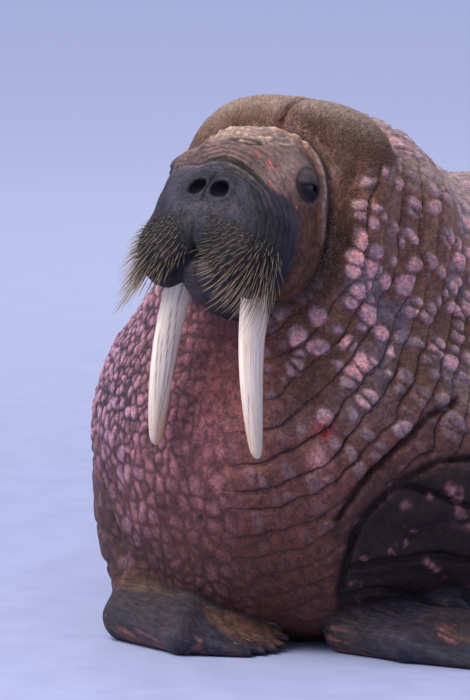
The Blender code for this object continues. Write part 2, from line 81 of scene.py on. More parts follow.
def noise(points, size, seed=0):  # the corners' random numbers blended evenly: -1 to 1
    place = points / size
    base = np.floor(place).astype(np.int64)
    share = place - base
    share = share * share * (3 - 2 * share)
    value = np.zeros(len(points))
    for corner in np.ndindex(2, 2, 2):
        weight = np.prod(np.where(corner, share, 1 - share), -1)
        value += weight * lattice(base + np.array(corner), seed)
    return 2 * value - 1


def roughNoise(points, size, seed=0):  # three octaves, each half as large and half as strong
    return sum(noise(points, size / 2**n, seed + n) / 2**n for n in range(3)) / 1.75


def waver(points, size, seed, count=3):  # a small shift to each side, for uneven edges
    return np.stack([noise(points, size, seed + n) for n in range(count)], -1)


def cellsOf(points, size, seed=0):
    # one random point in each cube of this size: distance to the nearest, to the second,
    # and a number of the nearest one's own
    place = points / size
    base = np.floor(place).astype(np.int64)
    near, second = np.full(len(points), 9.0), np.full(len(points), 9.0)
    number = np.zeros(len(points))
    for step in np.ndindex(3, 3, 3):
        cell = base + np.array(step) - 1
        spot = cell + np.stack([0.15 + 0.7 * lattice(cell, seed + n) for n in range(3)], -1)
        gap = lengthOf(place - spot)
        closer = gap < near
        second = np.where(closer, near, np.minimum(second, gap))
        number = np.where(closer, lattice(cell, seed + 5), number)
        near = np.where(closer, gap, near)
    return near, second, number


def shade(red, green, blue):  # a colour as seen, 0 to 255, made linear
    seen = np.array([red, green, blue]) / 255
    return np.where(seen < 0.04045, seen / 12.92, ((seen + 0.055) / 1.055) ** 2.4)


# The head's own axes: columns are its left, forward and up
headPose = {
    "eyesMid": (0.046, -0.185, 1.138),
    "pitch": math.radians(20),
    "roll": math.radians(2),
}


def headAxesOf(pose):  # nose lifted by pitch, crown leaned by roll
    cp, sp = math.cos(pose["pitch"]), math.sin(pose["pitch"])
    cr, sr = math.cos(pose["roll"]), math.sin(pose["roll"])
    lifted = np.array([[1, 0, 0], [0, -cp, sp], [0, sp, cp]])
    leaned = np.array([[cr, 0, sr], [0, 1, 0], [-sr, 0, cr]])
    return lifted @ leaned


headAxes = headAxesOf(headPose)
eyesMid = np.array(headPose["eyesMid"])


def inHead(left, forward, up):  # a place given in the head's axes
    return eyesMid + headAxes @ np.array([left, forward, up])


def headPlace(points):  # left, forward and up of any points
    return (points - eyesMid) @ headAxes


def onSide(place, side):  # the animal's left for 1, mirrored to its right for -1
    return np.array(place) * (side, 1, 1)


# Masses of flesh: each is a function that gives a signed distance, negative inside
def ball(centre, radii, axes=None):  # r (r - 1) over the slope of r, r = the scaled radius
    centre, radii = np.array(centre), np.array(radii)

    def distance(points):
        local = points - centre
        if axes is not None:
            local = local @ axes
        ratio = lengthOf(local / radii)
        return ratio * (ratio - 1) / np.maximum(lengthOf(local / radii**2), 1e-6)

    return distance


def headBall(left, forward, up, radii):
    return ball(inHead(left, forward, up), radii, headAxes)


def ring(centre, radii, thickness, square, axes):
    # distance to a squared oval, (|x / a|^n + |z / b|^n)^(1/n) = 1, less its thickness
    centre = np.array(centre)

    def distance(points):
        local = (points - centre) @ axes
        across = np.abs(local[:, [0, 2]]) / radii
        reach = ((across**square).sum(1) ** (1 / square) - 1) * min(radii)
        return np.hypot(reach, local[:, 1]) - thickness

    return distance


def limb(start, end, startRadius, endRadius):  # distance to a segment, less an even taper
    start, end = np.array(start), np.array(end)
    along = end - start

    def distance(points):
        share = np.clip((points - start) @ along / (along @ along), 0, 1)
        centre = start + share[:, None] * along
        return lengthOf(points - centre) - startRadius - share * (endRadius - startRadius)

    return distance


def melt(first, second, width):  # smaller of two distances, rounded over a width
    share = np.clip(0.5 + 0.5 * (second - first) / width, 0, 1)
    return second + share * (first - second) - width * share * (1 - share)


def melted(masses):
    def distance(points):
        value = masses[0][0](points)
        for mass, width in masses[1:]:
            value = melt(value, mass(points), width)
        return value

    return distance


def nearBox(field, places, margin):  # the field inside a box round its places, far outside
    places = np.array(places)
    low, high = places.min(0) - margin, places.max(0) + margin

    def distance(points):
        value = np.ones(len(points))
        near = ((points > low) & (points < high)).all(1)
        if near.any():
            value[near] = field(points[near])
        return value

    return distance


hood = {
    "place": (0.026, -0.150, -0.042), "radii": (0.202, 0.186), "thickness": 0.060, "square": 3.2,
}
torsoMasses = (  # middle, half sizes, and how widely each melts into those before it
    ((-0.015, 0.11, 0.46), (0.485, 0.41, 0.455), 0),
    ((-0.010, 0.13, 0.25), (0.455, 0.34, 0.26), 0.10),
    ((0.03, 0.09, 0.84), (0.290, 0.28, 0.36), 0.16),
    ((0, 0.33, 0.80), (0.35, 0.34, 0.35), 0.14),
    ((0.045, 0.15, 0.98), (0.325, 0.235, 0.25), 0.12),
    ((0, 0.50, 0.55), (0.50, 0.50, 0.47), 0.14),
    ((0, 0.85, 0.51), (0.51, 0.55, 0.485), 0.16),
    ((0, 0.80, 0.28), (0.45, 0.75, 0.29), 0.12),
    ((0, 1.20, 0.45), (0.50, 0.58, 0.475), 0.16),
    ((0, 1.55, 0.36), (0.45, 0.56, 0.40), 0.16),
    ((0, 1.70, 0.22), (0.38, 0.55, 0.23), 0.12),
    ((0, 1.97, 0.24), (0.34, 0.46, 0.29), 0.16),
    ((0, 2.28, 0.14), (0.21, 0.26, 0.165), 0.12),
)
arms = {
    "left": {
        "side": 1, "shoulder": (0.37, 0.22, 0.38), "radii": (0.17, 0.29, 0.27),
        "elbow": (0.40, 0.21, 0.27), "wrist": (0.27, 0.04, 0.13),
    },
    "right": {
        "side": -1, "shoulder": (0.34, 0.14, 0.34), "radii": (0.14, 0.28, 0.28),
        "elbow": (0.34, 0.08, 0.25), "wrist": (0.27, -0.09, 0.13),
    },
}
flippers = {  # wrist, knuckle and tip of the first and last digit
    "foreRight": {
        "front": ((-0.285, -0.190, 0.046), (-0.070, -0.285, 0.034), (0.085, -0.240, 0.009)),
        "back": ((-0.266, -0.100, 0.132), (-0.115, -0.130, 0.122), (0.112, -0.115, 0.028)),
        "radii": (0.050, 0.012), "side": 1,
    },
    "foreLeft": {
        "front": ((0.240, -0.060, 0.046), (0.430, -0.100, 0.034), (0.660, -0.100, 0.009)),
        "back": ((0.260, 0.050, 0.115), (0.450, 0.070, 0.100), (0.700, 0.120, 0.026)),
        "radii": (0.050, 0.012), "side": 1,
    },
    "hindLeft": {
        "front": ((0.210, 2.270, 0.045), (0.370, 2.180, 0.030), (0.560, 2.060, 0.009)),
        "back": ((0.230, 2.400, 0.050), (0.420, 2.400, 0.036), (0.640, 2.330, 0.009)),
        "radii": (0.045, 0.012), "side": 1,
    },
}
flippers["hindRight"] = {**flippers["hindLeft"], "side": -1}
ankle = {"from": (0.16, 2.12, 0.13), "to": (0.235, 2.33, 0.06), "radii": (0.12, 0.060)}
tail = {"from": (0, 2.40, 0.13), "to": (0, 2.60, 0.055), "radii": (0.055, 0.022)}
coatDepth = 0.004  # the skin lies this far inside the solids
floorGap = 0.0008  # and this far over the floor
digitCount = 5


def handEnds(hand):  # the first and the last digit, as wrist, knuckle and tip
    return [onSide(hand[key], hand["side"]) for key in ("front", "back")]


def digitLines(hand):
    # wrist, knuckle and tip of each digit and of the web half way between two digits
    front, back = handEnds(hand)
    lines = []
    for step in range(2 * digitCount - 1):
        share = step / (2 * digitCount - 2)
        isDigit = step % 2 == 0
        reach = 1.0 if isDigit else 0.88
        wrist, knuckle, tip = front + share * (back - front)
        tip = knuckle + (tip - knuckle) * (reach + 0.10 * math.sin(math.pi * share))
        lines.append((np.array([wrist, knuckle, tip]), isDigit))
    return lines


def flipperField(hand):
    wristRadius, tipRadius = hand["radii"]
    knuckleRadius = 0.6 * wristRadius + 0.4 * tipRadius
    masses = []
    for (wrist, knuckle, tip), isDigit in digitLines(hand):
        size = 1.0 if isDigit else 0.66
        masses.append((limb(wrist, knuckle, wristRadius, size * knuckleRadius), 0.030))
        masses.append((limb(knuckle, tip, size * knuckleRadius, size * tipRadius), 0.020))
    places = np.vstack([line for line, _ in digitLines(hand)])
    return nearBox(melted(masses), places, 0.16)


def armField(arm):
    shoulder, elbow, wrist = (
        onSide(arm[key], arm["side"]) for key in ("shoulder", "elbow", "wrist")
    )
    return melted([(ball(shoulder, arm["radii"]), 0), (limb(elbow, wrist, 0.16, 0.098), 0.08)])


hoodField = ring(
    inHead(*hood["place"]), hood["radii"], hood["thickness"], hood["square"], headAxes
)
torsoField = melted([(ball(*mass[:2]), mass[2]) for mass in torsoMasses] + [(hoodField, 0.11)])
armFields = {word: armField(arm) for word, arm in arms.items()}
flipperFields = {word: flipperField(hand) for word, hand in flippers.items()}
ankleFields = [
    limb(*(onSide(ankle[key], side) for key in ("from", "to")), *ankle["radii"])
    for side in (1, -1)
]
tailField = limb(tail["from"], tail["to"], *tail["radii"])


def bodyDistance(points):  # torso and arms, then what grows from them, less the coat
    value = torsoField(points)
    for field in armFields.values():
        value = melt(value, field(points), 0.030)
    rear = points[:, 1] > 1.7
    if rear.any():
        part = value[rear]
        for field in ankleFields:
            part = melt(part, field(points[rear]), 0.05)
        value[rear] = melt(part, tailField(points[rear]), 0.04)
    for field in flipperFields.values():
        value = melt(value, field(points), 0.022)
    value = value + coatDepth
    return np.maximum(value, floorGap - points[:, 2])


eye = {
    "place": (0.165, 0.004, -0.022), "radius": 0.024, "lid": (0.0315, 0.034, 0.035),
    "opening": (0.0225, 0.0062), "rows": 24, "columns": 32,
}
nostril = {
    "place": (0.031, 0.140, -0.074), "shift": -0.006, "radii": (0.0225, 0.040, 0.0215), "bend": 16,
}
pad = {"place": (0.092, 0.070, -0.220), "radii": (0.096, 0.090, 0.096)}
lips = {"peak": -0.221, "spread": 0.84, "round": 0.016}


def headField():
    masses = [
        (headBall(0.010, -0.10, -0.022, (0.162, 0.19, 0.136)), 0),
        (headBall(0.005, 0.00, 0.008, (0.128, 0.10, 0.084)), 0.05),
        (headBall(0, 0.055, -0.090, (0.105, 0.090, 0.066)), 0.05),
        (headBall(0, 0.055, -0.172, (0.150, 0.120, 0.096)), 0.05),
    ]
    left, forward, up = eye["place"]
    for side in (1, -1):
        masses += [
            (headBall(side * 0.105, -0.05, -0.15, (0.10, 0.14, 0.14)), 0.07),
            (headBall(side * (left - 0.020), forward, up, (0.034, 0.050, 0.044)), 0.05),
            (headBall(side * 0.085, 0.045, -0.115, (0.078, 0.080, 0.085)), 0.05),
            (headBall(side * pad["place"][0], *pad["place"][1:], pad["radii"]), 0.03),
        ]
    return melted(masses)


skullField = headField()
nearHead = nearBox(skullField, [eyesMid], 0.45)
jawField = melted([
    (headBall(0, 0.034, -0.256, (0.078, 0.094, 0.066)), 0),
    (headBall(0, -0.08, -0.245, (0.12, 0.14, 0.10)), 0.06),
])


def mouthGap(local):  # the wedge between the lips: |left| cos a - depth under the peak sin a
    angle = lips["spread"]
    depth = lips["peak"] - local[:, 2]
    return np.abs(local[:, 0] + 0.004) * math.cos(angle) - depth * math.sin(angle)


def lipField(points):  # the skull with that wedge cut out of it
    return -melt(-skullField(points), mouthGap(headPlace(points)), lips["round"])


def faceDistance(points):
    # skull and jaw meet in the line of the mouth; lids are added, eyes and nostrils opened
    value = melt(lipField(points), jawField(points), 0.006) + 0.002
    local = headPlace(points)
    wide, tall = eye["opening"]
    for side in (1, -1):
        fromEye = (local - onSide(eye["place"], side)) * (side, 1, 1)
        ratio = lengthOf(fromEye / eye["lid"])
        lid = (ratio - 1) * min(eye["lid"])
        value = melt(value, lid, 0.010)
        slant = fromEye[:, 2] + 0.0030 - 0.14 * fromEye[:, 1] + 9 * fromEye[:, 1] ** 2
        across = np.stack([fromEye[:, 1] / wide, slant / tall], -1)
        opening = (lengthOf(across) - 1) * tall
        opening = np.maximum(opening, 0.010 - fromEye[:, 0])
        hollow = lengthOf(fromEye) - eye["radius"] - 0.0006
        value = -melt(-value, melt(opening, hollow, 0.002), 0.005)
        fromNose = (local - nostrilPlace(side)) * (side, 1, 1)
        value = -melt(-value, nostrilHollow(fromNose), 0.006)
    return value


def nostrilPlace(side):
    return onSide(nostril["place"], side) + (nostril["shift"], 0, 0)


def nostrilHollow(local):  # a comma: a ball bent down at its outer end
    bend = local[:, 2] + nostril["bend"] * np.maximum(local[:, 0], -0.004) ** 2
    ratio = np.stack([local[:, 0], local[:, 1], bend], -1) / nostril["radii"]
    return (lengthOf(ratio) - 1) * min(nostril["radii"])


# Surface nets, because one skin with flippers, folds and a mouth has no two parameters:
# each grid cell that the zero crosses holds one point, the mean of its edges' crossings
def netOf(field, low, high, step, reach):
    shape = [int(math.ceil((b - a) / s / 4)) * 4 + 1 for a, b, s in zip(low, high, step)]
    lines = [a + s * np.arange(n) for a, s, n in zip(low, step, shape)]
    coarse = [line[2::4] for line in lines]
    blocks = np.stack(np.meshgrid(*coarse, indexing="ij"), -1)
    rough = field(blocks.reshape(-1, 3)).reshape(blocks.shape[:3])
    close = np.abs(rough) < reach
    value = np.where(rough < 0, -1.0, 1.0)
    for axis in range(3):
        close, value = np.repeat(close, 4, axis), np.repeat(value, 4, axis)
    full = np.zeros(shape, bool)
    for corner in np.ndindex(2, 2, 2):
        window = tuple(slice(c, c + n) for c, n in zip(corner, close.shape))
        full[window] |= close
    sign = np.ones(shape)
    sign[:-1, :-1, :-1] = value
    spots = np.argwhere(full)
    places = np.stack([lines[i][spots[:, i]] for i in range(3)], -1)
    sign[full] = np.concatenate([field(part) for part in np.array_split(places, 12)])
    return quadsOf(sign, lines)


def quadsOf(value, lines):
    limits = np.array(value.shape) - 1
    corners, points, turned = [], [], []
    for axis in range(3):
        others = [i for i in range(3) if i != axis]
        first = np.take(value, range(limits[axis]), axis) < 0
        second = np.take(value, range(1, limits[axis] + 1), axis) < 0
        spots = np.argwhere(first != second)
        kept = (spots[:, others] > 0).all(1) & (spots[:, others] < limits[others]).all(1)
        spots = spots[kept]
        ahead = spots.copy()
        ahead[:, axis] += 1
        a, b = value[tuple(spots.T)], value[tuple(ahead.T)]
        place = np.stack([lines[i][spots[:, i]] for i in range(3)], -1)
        place[:, axis] += a / (a - b) * (lines[axis][ahead[:, axis]] - place[:, axis])
        ids = []
        for i, j in ((1, 1), (0, 1), (0, 0), (1, 0)):
            cell = spots.copy()
            cell[:, others[0]] -= i
            cell[:, others[1]] -= j
            ids.append(np.ravel_multi_index(tuple(cell.T), tuple(limits)))
        corners.append(np.stack(ids, 1))
        points.append(place)
        turned.append((a < 0) != (axis == 1))
    corners, points = np.concatenate(corners), np.concatenate(points)
    quads = np.where(np.concatenate(turned)[:, None], corners, corners[:, ::-1])
    number = np.unique(quads, return_inverse=True)[1].reshape(-1, 4)
    count = np.bincount(number.ravel())
    middle = [
        np.bincount(number.ravel(), np.repeat(points[:, i], 4)) / count for i in range(3)
    ]
    return np.stack(middle, -1), number


def slopeOf(field, points, step=0.0012):  # the gradient, from the corners of a tetrahedron
    slope = np.zeros_like(points)
    for corner in ((1, 1, 1), (1, -1, -1), (-1, 1, -1), (-1, -1, 1)):
        offset = np.array(corner) * step
        slope += field(points + offset)[:, None] * np.array(corner)
    return slope / (4 * step)


def settled(field, points, rounds):  # Newton's steps onto the zero, none longer than 6 mm
    for _ in range(rounds):
        slope = slopeOf(field, points)
        size = np.maximum((slope * slope).sum(1), 0.1)
        move = -(field(points) / size)[:, None] * slope
        long = np.maximum(lengthOf(move) / 0.006, 1)
        points = points + move / long[:, None]
    return points


def quartered(points, quads):  # each face split in four at its middle and its edges' middles
    edges = np.sort(np.stack([quads, np.roll(quads, -1, 1)], -1).reshape(-1, 2), 1)
    key, number = np.unique(edges[:, 0] * len(points) + edges[:, 1], return_inverse=True)
    ends = np.stack([key // len(points), key % len(points)], -1)
    edge = number.reshape(-1, 4) + len(points)
    centre = np.arange(len(quads)) + len(points) + len(key)
    made = [
        np.stack([quads[:, i], edge[:, i], centre, edge[:, i - 1]], 1) for i in range(4)
    ]
    points = np.vstack([points, points[ends].mean(1), points[quads].mean(1)])
    return points, np.concatenate(made)


def normalsOf(points, quads):  # area-weighted mean of the faces round each point
    a, b, c, d = (points[quads[:, i]] for i in range(4))
    across = np.cross(c - a, d - b)
    total = np.stack([
        np.bincount(quads.ravel(), np.repeat(across[:, i], 4), len(points)) for i in range(3)
    ], -1)
    return unit(total)


# Meshes
def meshOf(name, points, faces, material):
    faces = np.asarray(faces)
    mesh = bpy.data.meshes.new(name)
    sides = faces.shape[1]
    mesh.vertices.add(len(points))
    mesh.vertices.foreach_set("co", np.asarray(points, np.float32).ravel())
    mesh.loops.add(faces.size)
    mesh.loops.foreach_set("vertex_index", faces.astype(np.int32).ravel())
    mesh.polygons.add(len(faces))
    mesh.polygons.foreach_set("loop_start", np.arange(0, faces.size, sides, dtype=np.int32))
    mesh.polygons.foreach_set("use_smooth", np.ones(len(faces), bool))
    mesh.update(calc_edges=True)
    mesh.validate()
    mesh.materials.append(material)
    made = bpy.data.objects.new(name, mesh)
    bpy.context.collection.objects.link(made)
    return made


def addColour(made, name, colours):
    layer = made.data.attributes.new(name, "FLOAT_COLOR", "POINT")
    full = np.ones((len(colours), 4), np.float32)
    full[:, :3] = colours
    layer.data.foreach_set("color", full.ravel())


def addNumber(made, name, values):
    layer = made.data.attributes.new(name, "FLOAT", "POINT")
    layer.data.foreach_set("value", np.asarray(values, np.float32))


def addVector(made, name, values):
    layer = made.data.attributes.new(name, "FLOAT_VECTOR", "POINT")
    layer.data.foreach_set("vector", np.asarray(values, np.float32).ravel())


def setNormals(made, normals):
    made.data.normals_split_custom_set_from_vertices(normals.tolist())


def finish(made, slot, *nodes):
    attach(made, "root")
    if nodes:
        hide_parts(*nodes)
    return made


def tubesOf(lines, radii, sides):
    # many tapered tubes at once: ring points are line + radius (cos t side + sin t other);
    # a tube ends in one point at its tip and its root is closed by one more
    count, rings = lines.shape[:2]
    ahead = unit(np.gradient(lines, axis=1))
    side = unit(np.cross(ahead, (0.3, 0.1, 1.0)))
    other = np.cross(ahead, side)
    turn = np.arange(sides) * 2 * math.pi / sides
    circle = np.cos(turn)[:, None] * side[:, :, None] + np.sin(turn)[:, None] * other[:, :, None]
    body = (lines[:, :, None] + radii[..., None, None] * circle)[:, :-1]
    perTube = (rings - 1) * sides + 2
    points = np.concatenate(
        [body.reshape(count, -1, 3), lines[:, :1], lines[:, -1:]], 1
    ).reshape(-1, 3)
    ring = np.arange(sides)
    after = (ring + 1) % sides
    faces = []
    for k in range(rings - 2):
        a, b = k * sides + ring, k * sides + after
        faces += [np.stack([a, b, b + sides], 1), np.stack([a, b + sides, a + sides], 1)]
    last = (rings - 2) * sides
    root, tip = perTube - 2, perTube - 1
    faces.append(np.stack([after, ring, np.full(sides, root)], 1))
    faces.append(np.stack([last + ring, last + after, np.full(sides, tip)], 1))
    one = np.concatenate(faces)
    faces = (one[None] + (np.arange(count) * perTube)[:, None, None]).reshape(-1, 3)
    return points, faces


def closedGrid(rows, columns):  # faces of a ball: a grid of rows that wrap, then two poles
    ids = np.arange(rows * columns).reshape(rows, columns)
    a, b = ids[:-1], ids[1:]
    nextA, nextB = np.roll(a, -1, 1), np.roll(b, -1, 1)
    first, last = rows * columns, rows * columns + 1
    return np.concatenate([
        np.stack([a, b, nextB], -1).reshape(-1, 3), np.stack([a, nextB, nextA], -1).reshape(-1, 3),
        np.stack([np.full(columns, first), ids[0], np.roll(ids[0], -1)], 1),
        np.stack([np.full(columns, last), np.roll(ids[-1], -1), ids[-1]], 1),
    ])


def globe(rows, columns):  # a ball: (cos v, sin v cos u, sin v sin u), then its two poles
    v = np.linspace(0, math.pi, rows + 1)[1:-1, None]
    u = np.linspace(0, 2 * math.pi, columns, endpoint=False)[None]
    points = np.stack([np.cos(v) + 0 * u, np.sin(v) * np.cos(u), np.sin(v) * np.sin(u)], -1)
    points = np.vstack([points.reshape(-1, 3), (1, 0, 0), (-1, 0, 0)])
    return points, closedGrid(rows - 1, columns)


# Materials: a short way to write a node tree
class Tree:
    def __init__(self, name, **values):
        self.material = bpy.data.materials.new(name)
        self.material.use_nodes = True
        self.nodes = self.material.node_tree.nodes
        self.links = self.material.node_tree.links
        self.shader = self.nodes["Principled BSDF"]
        for socket, value in values.items():
            self.shader.inputs[socket.replace("_", " ")].default_value = value

    def put(self, value, socket):  # a number, a colour, or another node's output
        if isinstance(value, bpy.types.NodeSocket):
            self.links.new(value, socket)
        elif np.ndim(value) and socket.type == "RGBA":
            socket.default_value = (*value[:3], 1)
        else:
            socket.default_value = value

    def add(self, kind, output, inputs, **settings):
        node = self.nodes.new("ShaderNode" + kind)
        for key, value in settings.items():
            setattr(node, key, value)
        for key, value in inputs.items():
            self.put(value, node.inputs[key])
        return node.outputs[output]

    def attribute(self, name, output="Fac"):
        return self.add("Attribute", output, {}, attribute_name=name)

    def place(self, scale=(1, 1, 1), kind="Object"):
        source = self.add("TexCoord", kind, {})
        return self.add("Mapping", "Vector", {"Vector": source, "Scale": scale})

    def noise(self, place, scale, detail=3.0, roughness=0.55):
        inputs = {"Vector": place, "Scale": scale, "Detail": detail, "Roughness": roughness}
        return self.add("TexNoise", "Fac", inputs)

    def sum(self, kind, first, second=0.5):
        return self.add("Math", 0, {0: first, 1: second}, operation=kind)

    def times(self, first, second):
        return self.sum("MULTIPLY", first, second)

    def plus(self, first, second):
        return self.sum("ADD", first, second)

    def less(self, first, second):
        return self.sum("SUBTRACT", first, second)

    def fromHalf(self, value):
        return self.sum("ABSOLUTE", self.less(value, 0.5))

    def step(self, value, low, high, start=0.0, end=1.0):
        inputs = {"Value": value, "From Min": low, "From Max": high}
        inputs.update({"To Min": start, "To Max": end})
        return self.add("MapRange", "Result", inputs, interpolation_type="SMOOTHSTEP")

    def mix(self, share, first, second, blend="MIX"):
        node = self.nodes.new("ShaderNodeMix")
        node.data_type = "RGBA"
        node.blend_type = blend
        for value, socket in zip((share, first, second), (0, 6, 7)):
            self.put(value, node.inputs[socket])
        return node.outputs[2]

    def scaled(self, colour, red, green, blue):
        return self.mix(1.0, colour, (red, green, blue), "MULTIPLY")

    def mottled(self, pattern, low, high, tint, dark, light):
        return self.mix(self.step(pattern, low, high), self.scaled(tint, *dark),
                        self.scaled(tint, *light))

    def pitted(self, colour, grain, *limits):  # the colour times a grey made of the grain
        grey = self.step(grain, *limits)
        grey = self.add("CombineColor", 0, {0: grey, 1: grey, 2: grey})
        return self.mix(1.0, colour, grey, "MULTIPLY")

    def bump(self, height, distance, strength=1.0, below=None):
        inputs = {"Height": height, "Distance": distance, "Strength": strength}
        if below is not None:
            inputs["Normal"] = below
        return self.add("Bump", "Normal", inputs)

    def finish(self, **sockets):
        for key, value in sockets.items():
            self.put(value, self.shader.inputs[key.replace("_", " ")])
        return self.material


# The hide: colour and relief of the body's skin at every point
hideLook = {
    "chest": shade(112, 68, 66), "lowChest": shade(100, 54, 42), "throat": shade(116, 62, 62),
    # painted light on the hood: a paler tone where it faces up, and painted shade, a darker tone
    # low on its sides
    "hood": shade(100, 72, 58), "hoodShadedLow": shade(42, 23, 19), "hoodLitTop": shade(160, 138, 124),
    # the pale back tone is painted sunlight on skin that faces up
    "back": shade(176, 150, 138), "neck": shade(106, 70, 54), "grey": shade(98, 84, 88),
    # groove: painted shade, a navy tone for the gaps between cobbles
    "cobble": shade(186, 126, 136), "pink": shade(238, 164, 158), "groove": shade(32, 30, 46),
    # furrow: a dark tone used as painted shade in the furrows, the arm's folds and the crease round
    # the face
    # lilac: painted bluish sky light on the cobbles of the chest's right front
    "skyLitLilac": shade(172, 142, 168), "furrow": shade(34, 20, 20), "arm": shade(44, 26, 24),
    "armPink": shade(168, 112, 118),
    "flipper": shade(66, 52, 56), "tan": shade(116, 82, 62), "streak": shade(176, 104, 96),
    "slate": shade(58, 53, 68), "belly": shade(110, 76, 64), "wound": shade(150, 16, 12),
    "scar": shade(150, 66, 64), "ring": shade(170, 148, 154), "rust": shade(130, 74, 40),
    "cobbleSize": 0.021, "plateSize": 0.036, "bossSize": 0.040, "furrowGap": 0.054,
    "furrowFrom": (-0.15, -0.75, 1.37),
    "cobbleHeight": 0.0062, "bossHeight": 0.0085, "furrowDepth": 0.0056,
}
viewRight, viewUp = np.array((0.857, 0.515, 0)), np.array((-0.0806, 0.1341, 0.9877))
armFolds = (  # the left arm's folds, as they run in the camera's plane, in metres
    ((0.440, 0.560), (0.369, 0.522), (0.327, 0.484), (0.264, 0.421), (0.231, 0.388),
     (0.160, 0.287)),
    ((0.520, 0.424), (0.386, 0.421), (0.343, 0.393), (0.299, 0.362), (0.245, 0.320),
     (0.209, 0.275), (0.188, 0.228), (0.177, 0.181), (0.165, 0.120)),
    ((0.299, 0.362), (0.341, 0.357), (0.390, 0.341), (0.428, 0.320), (0.520, 0.305)),
    ((0.186, 0.174), (0.256, 0.186), (0.341, 0.195), (0.412, 0.195), (0.520, 0.172)),
    ((0.165, 0.101), (0.226, 0.120), (0.320, 0.111), (0.386, 0.094), (0.520, 0.070)),
)
marks = (  # place, radius, colour, strength and height of single scars
    ((0.270, -0.216, 0.552), 0.026, "scar", 0.80, 0.006),
    ((0.278, -0.212, 0.538), 0.012, "wound", 1.00, -0.004),
    ((0.269, -0.227, 0.480), 0.024, "pink", 0.75, 0.004),
    ((0.274, -0.224, 0.478), 0.008, "furrow", 0.60, -0.003),
    ((-0.020, -0.280, 0.325), 0.010, "furrow", 0.85, -0.005),
    ((0.411, -0.077, 0.365), 0.009, "pink", 0.75, 0.001),
    ((0.485, 0.015, 0.395), 0.010, "pink", 0.65, 0.001),
    ((0.449, -0.027, 0.380), 0.007, "pink", 0.70, 0.001),
    ((0.428, -0.006, 0.222), 0.008, "pink", 0.75, 0.001),
    ((0.434, 0.008, 0.212), 0.008, "pink", 0.75, 0.001),
    ((0.440, 0.020, 0.202), 0.008, "pink", 0.75, 0.001),
    ((0.330, -0.120, 0.700), 0.022, "pink", 0.80, 0.006),
    ((0.420, -0.020, 0.620), 0.010, "wound", 0.90, -0.003),
)


def fromRun(points, start, end):  # distance to one straight run
    along = end - start
    share = np.clip((points - start) @ along / (along @ along), 0, 1)
    return lengthOf(points - start - share[:, None] * along)


def nearestOn(route, flat):  # distance from flat points to a route of straight runs
    route = np.array(route)
    return np.min([fromRun(flat, *run) for run in zip(route[:-1], route[1:])], 0)


def foldsAt(points, side=1):  # 1 in the middle of a fold of the arm, 0 away from it
    mirrored = points * (side, 1, 1)
    flat = np.stack([mirrored @ viewRight, mirrored @ viewUp], -1)
    flat = flat + 0.006 * waver(points, 0.05, 31, 2)
    depth = np.zeros(len(points))
    for route in armFolds:
        depth = np.maximum(depth, bell(nearestOn(route, flat), 0.008))
    return depth * ramp(mirrored[:, 0], 0.10, 0.16) * (1 - ramp(points[:, 1], 0.15, 0.40))


def hoodBack(points):  # how far a place on the hood's side lies behind the face's edge
    local = headPlace(points)
    side = ramp(-local[:, 2], -0.13, 0.02)
    return (-0.075 - local[:, 1]) * side


def regionsOf(points, normals):  # how far each point belongs to each part of the hide
    x, y, z = points.T
    wander = 0.05 * noise(points, 0.16, 41) + 0.02 * noise(points, 0.05, 42)
    hoodShare = 1 - ramp(hoodField(points) + 0.5 * wander, 0.0, 0.055)
    hoodShare = hoodShare * (1 - 0.97 * ramp(hoodBack(points) + 0.4 * wander, -0.005, 0.035))
    handGap = np.min([field(points) for field in flipperFields.values()], 0)
    mirrored = np.stack([np.abs(x), y, z], -1)
    across, rise = mirrored @ viewRight - 0.3 * wander, mirrored @ viewUp
    upper = np.interp(rise, (0.28, 0.388, 0.421, 0.484, 0.522, 0.58),
                      (0.155, 0.231, 0.264, 0.327, 0.369, 0.46))
    lower = np.interp(rise, (0.10, 0.181, 0.228, 0.275, 0.320, 0.362, 0.393, 0.421, 0.45),
                      (0.160, 0.177, 0.188, 0.209, 0.245, 0.299, 0.343, 0.386, 0.52))
    soft = 0.05 * ramp(y, 0.05, 0.30)
    armShare = mix(0.55 * ramp(across - upper, -0.006, 0.010 + soft), 1.0,
                   ramp(across - lower, -0.006, 0.010 + soft))
    armShare = armShare * ramp(mirrored[:, 0], 0.10, 0.16) * (1 - ramp(z + wander, 0.42, 0.60))
    armShare = armShare * (1 - ramp(y + 2 * wander, 0.22, 0.60))
    armShare = armShare * mix(0.40, 1.0, ramp(x, -0.1, 0.1))
    handShare = 1 - ramp(handGap + 0.1 * wander, -0.002, 0.014)
    throat = bell(lengthOf((points - (0.04, -0.26, 0.68)) / (0.12, 0.30, 0.21)), 1)
    # back: skin that faces up behind the head; the colour put there is painted sunlight
    back = ramp(normals[:, 2] + 2 * wander, 0.25, 0.70) * ramp(y, 0.02, 0.24)
    back = back * (1 - hoodShare)
    side = np.maximum(ramp(x + 0.4 * wander, 0.0, 0.13), ramp(y + 2 * wander, 0.04, 0.44))
    return {
        "hood": hoodShare, "arm": armShare, "hand": handShare, "throat": throat, "back": back,
        "low": (1 - ramp(z + wander, 0.08, 0.30)) * (1 - armShare), "side": side,
        "rear": ramp(y + 2 * wander, 0.55, 1.50), "wander": wander,
    }


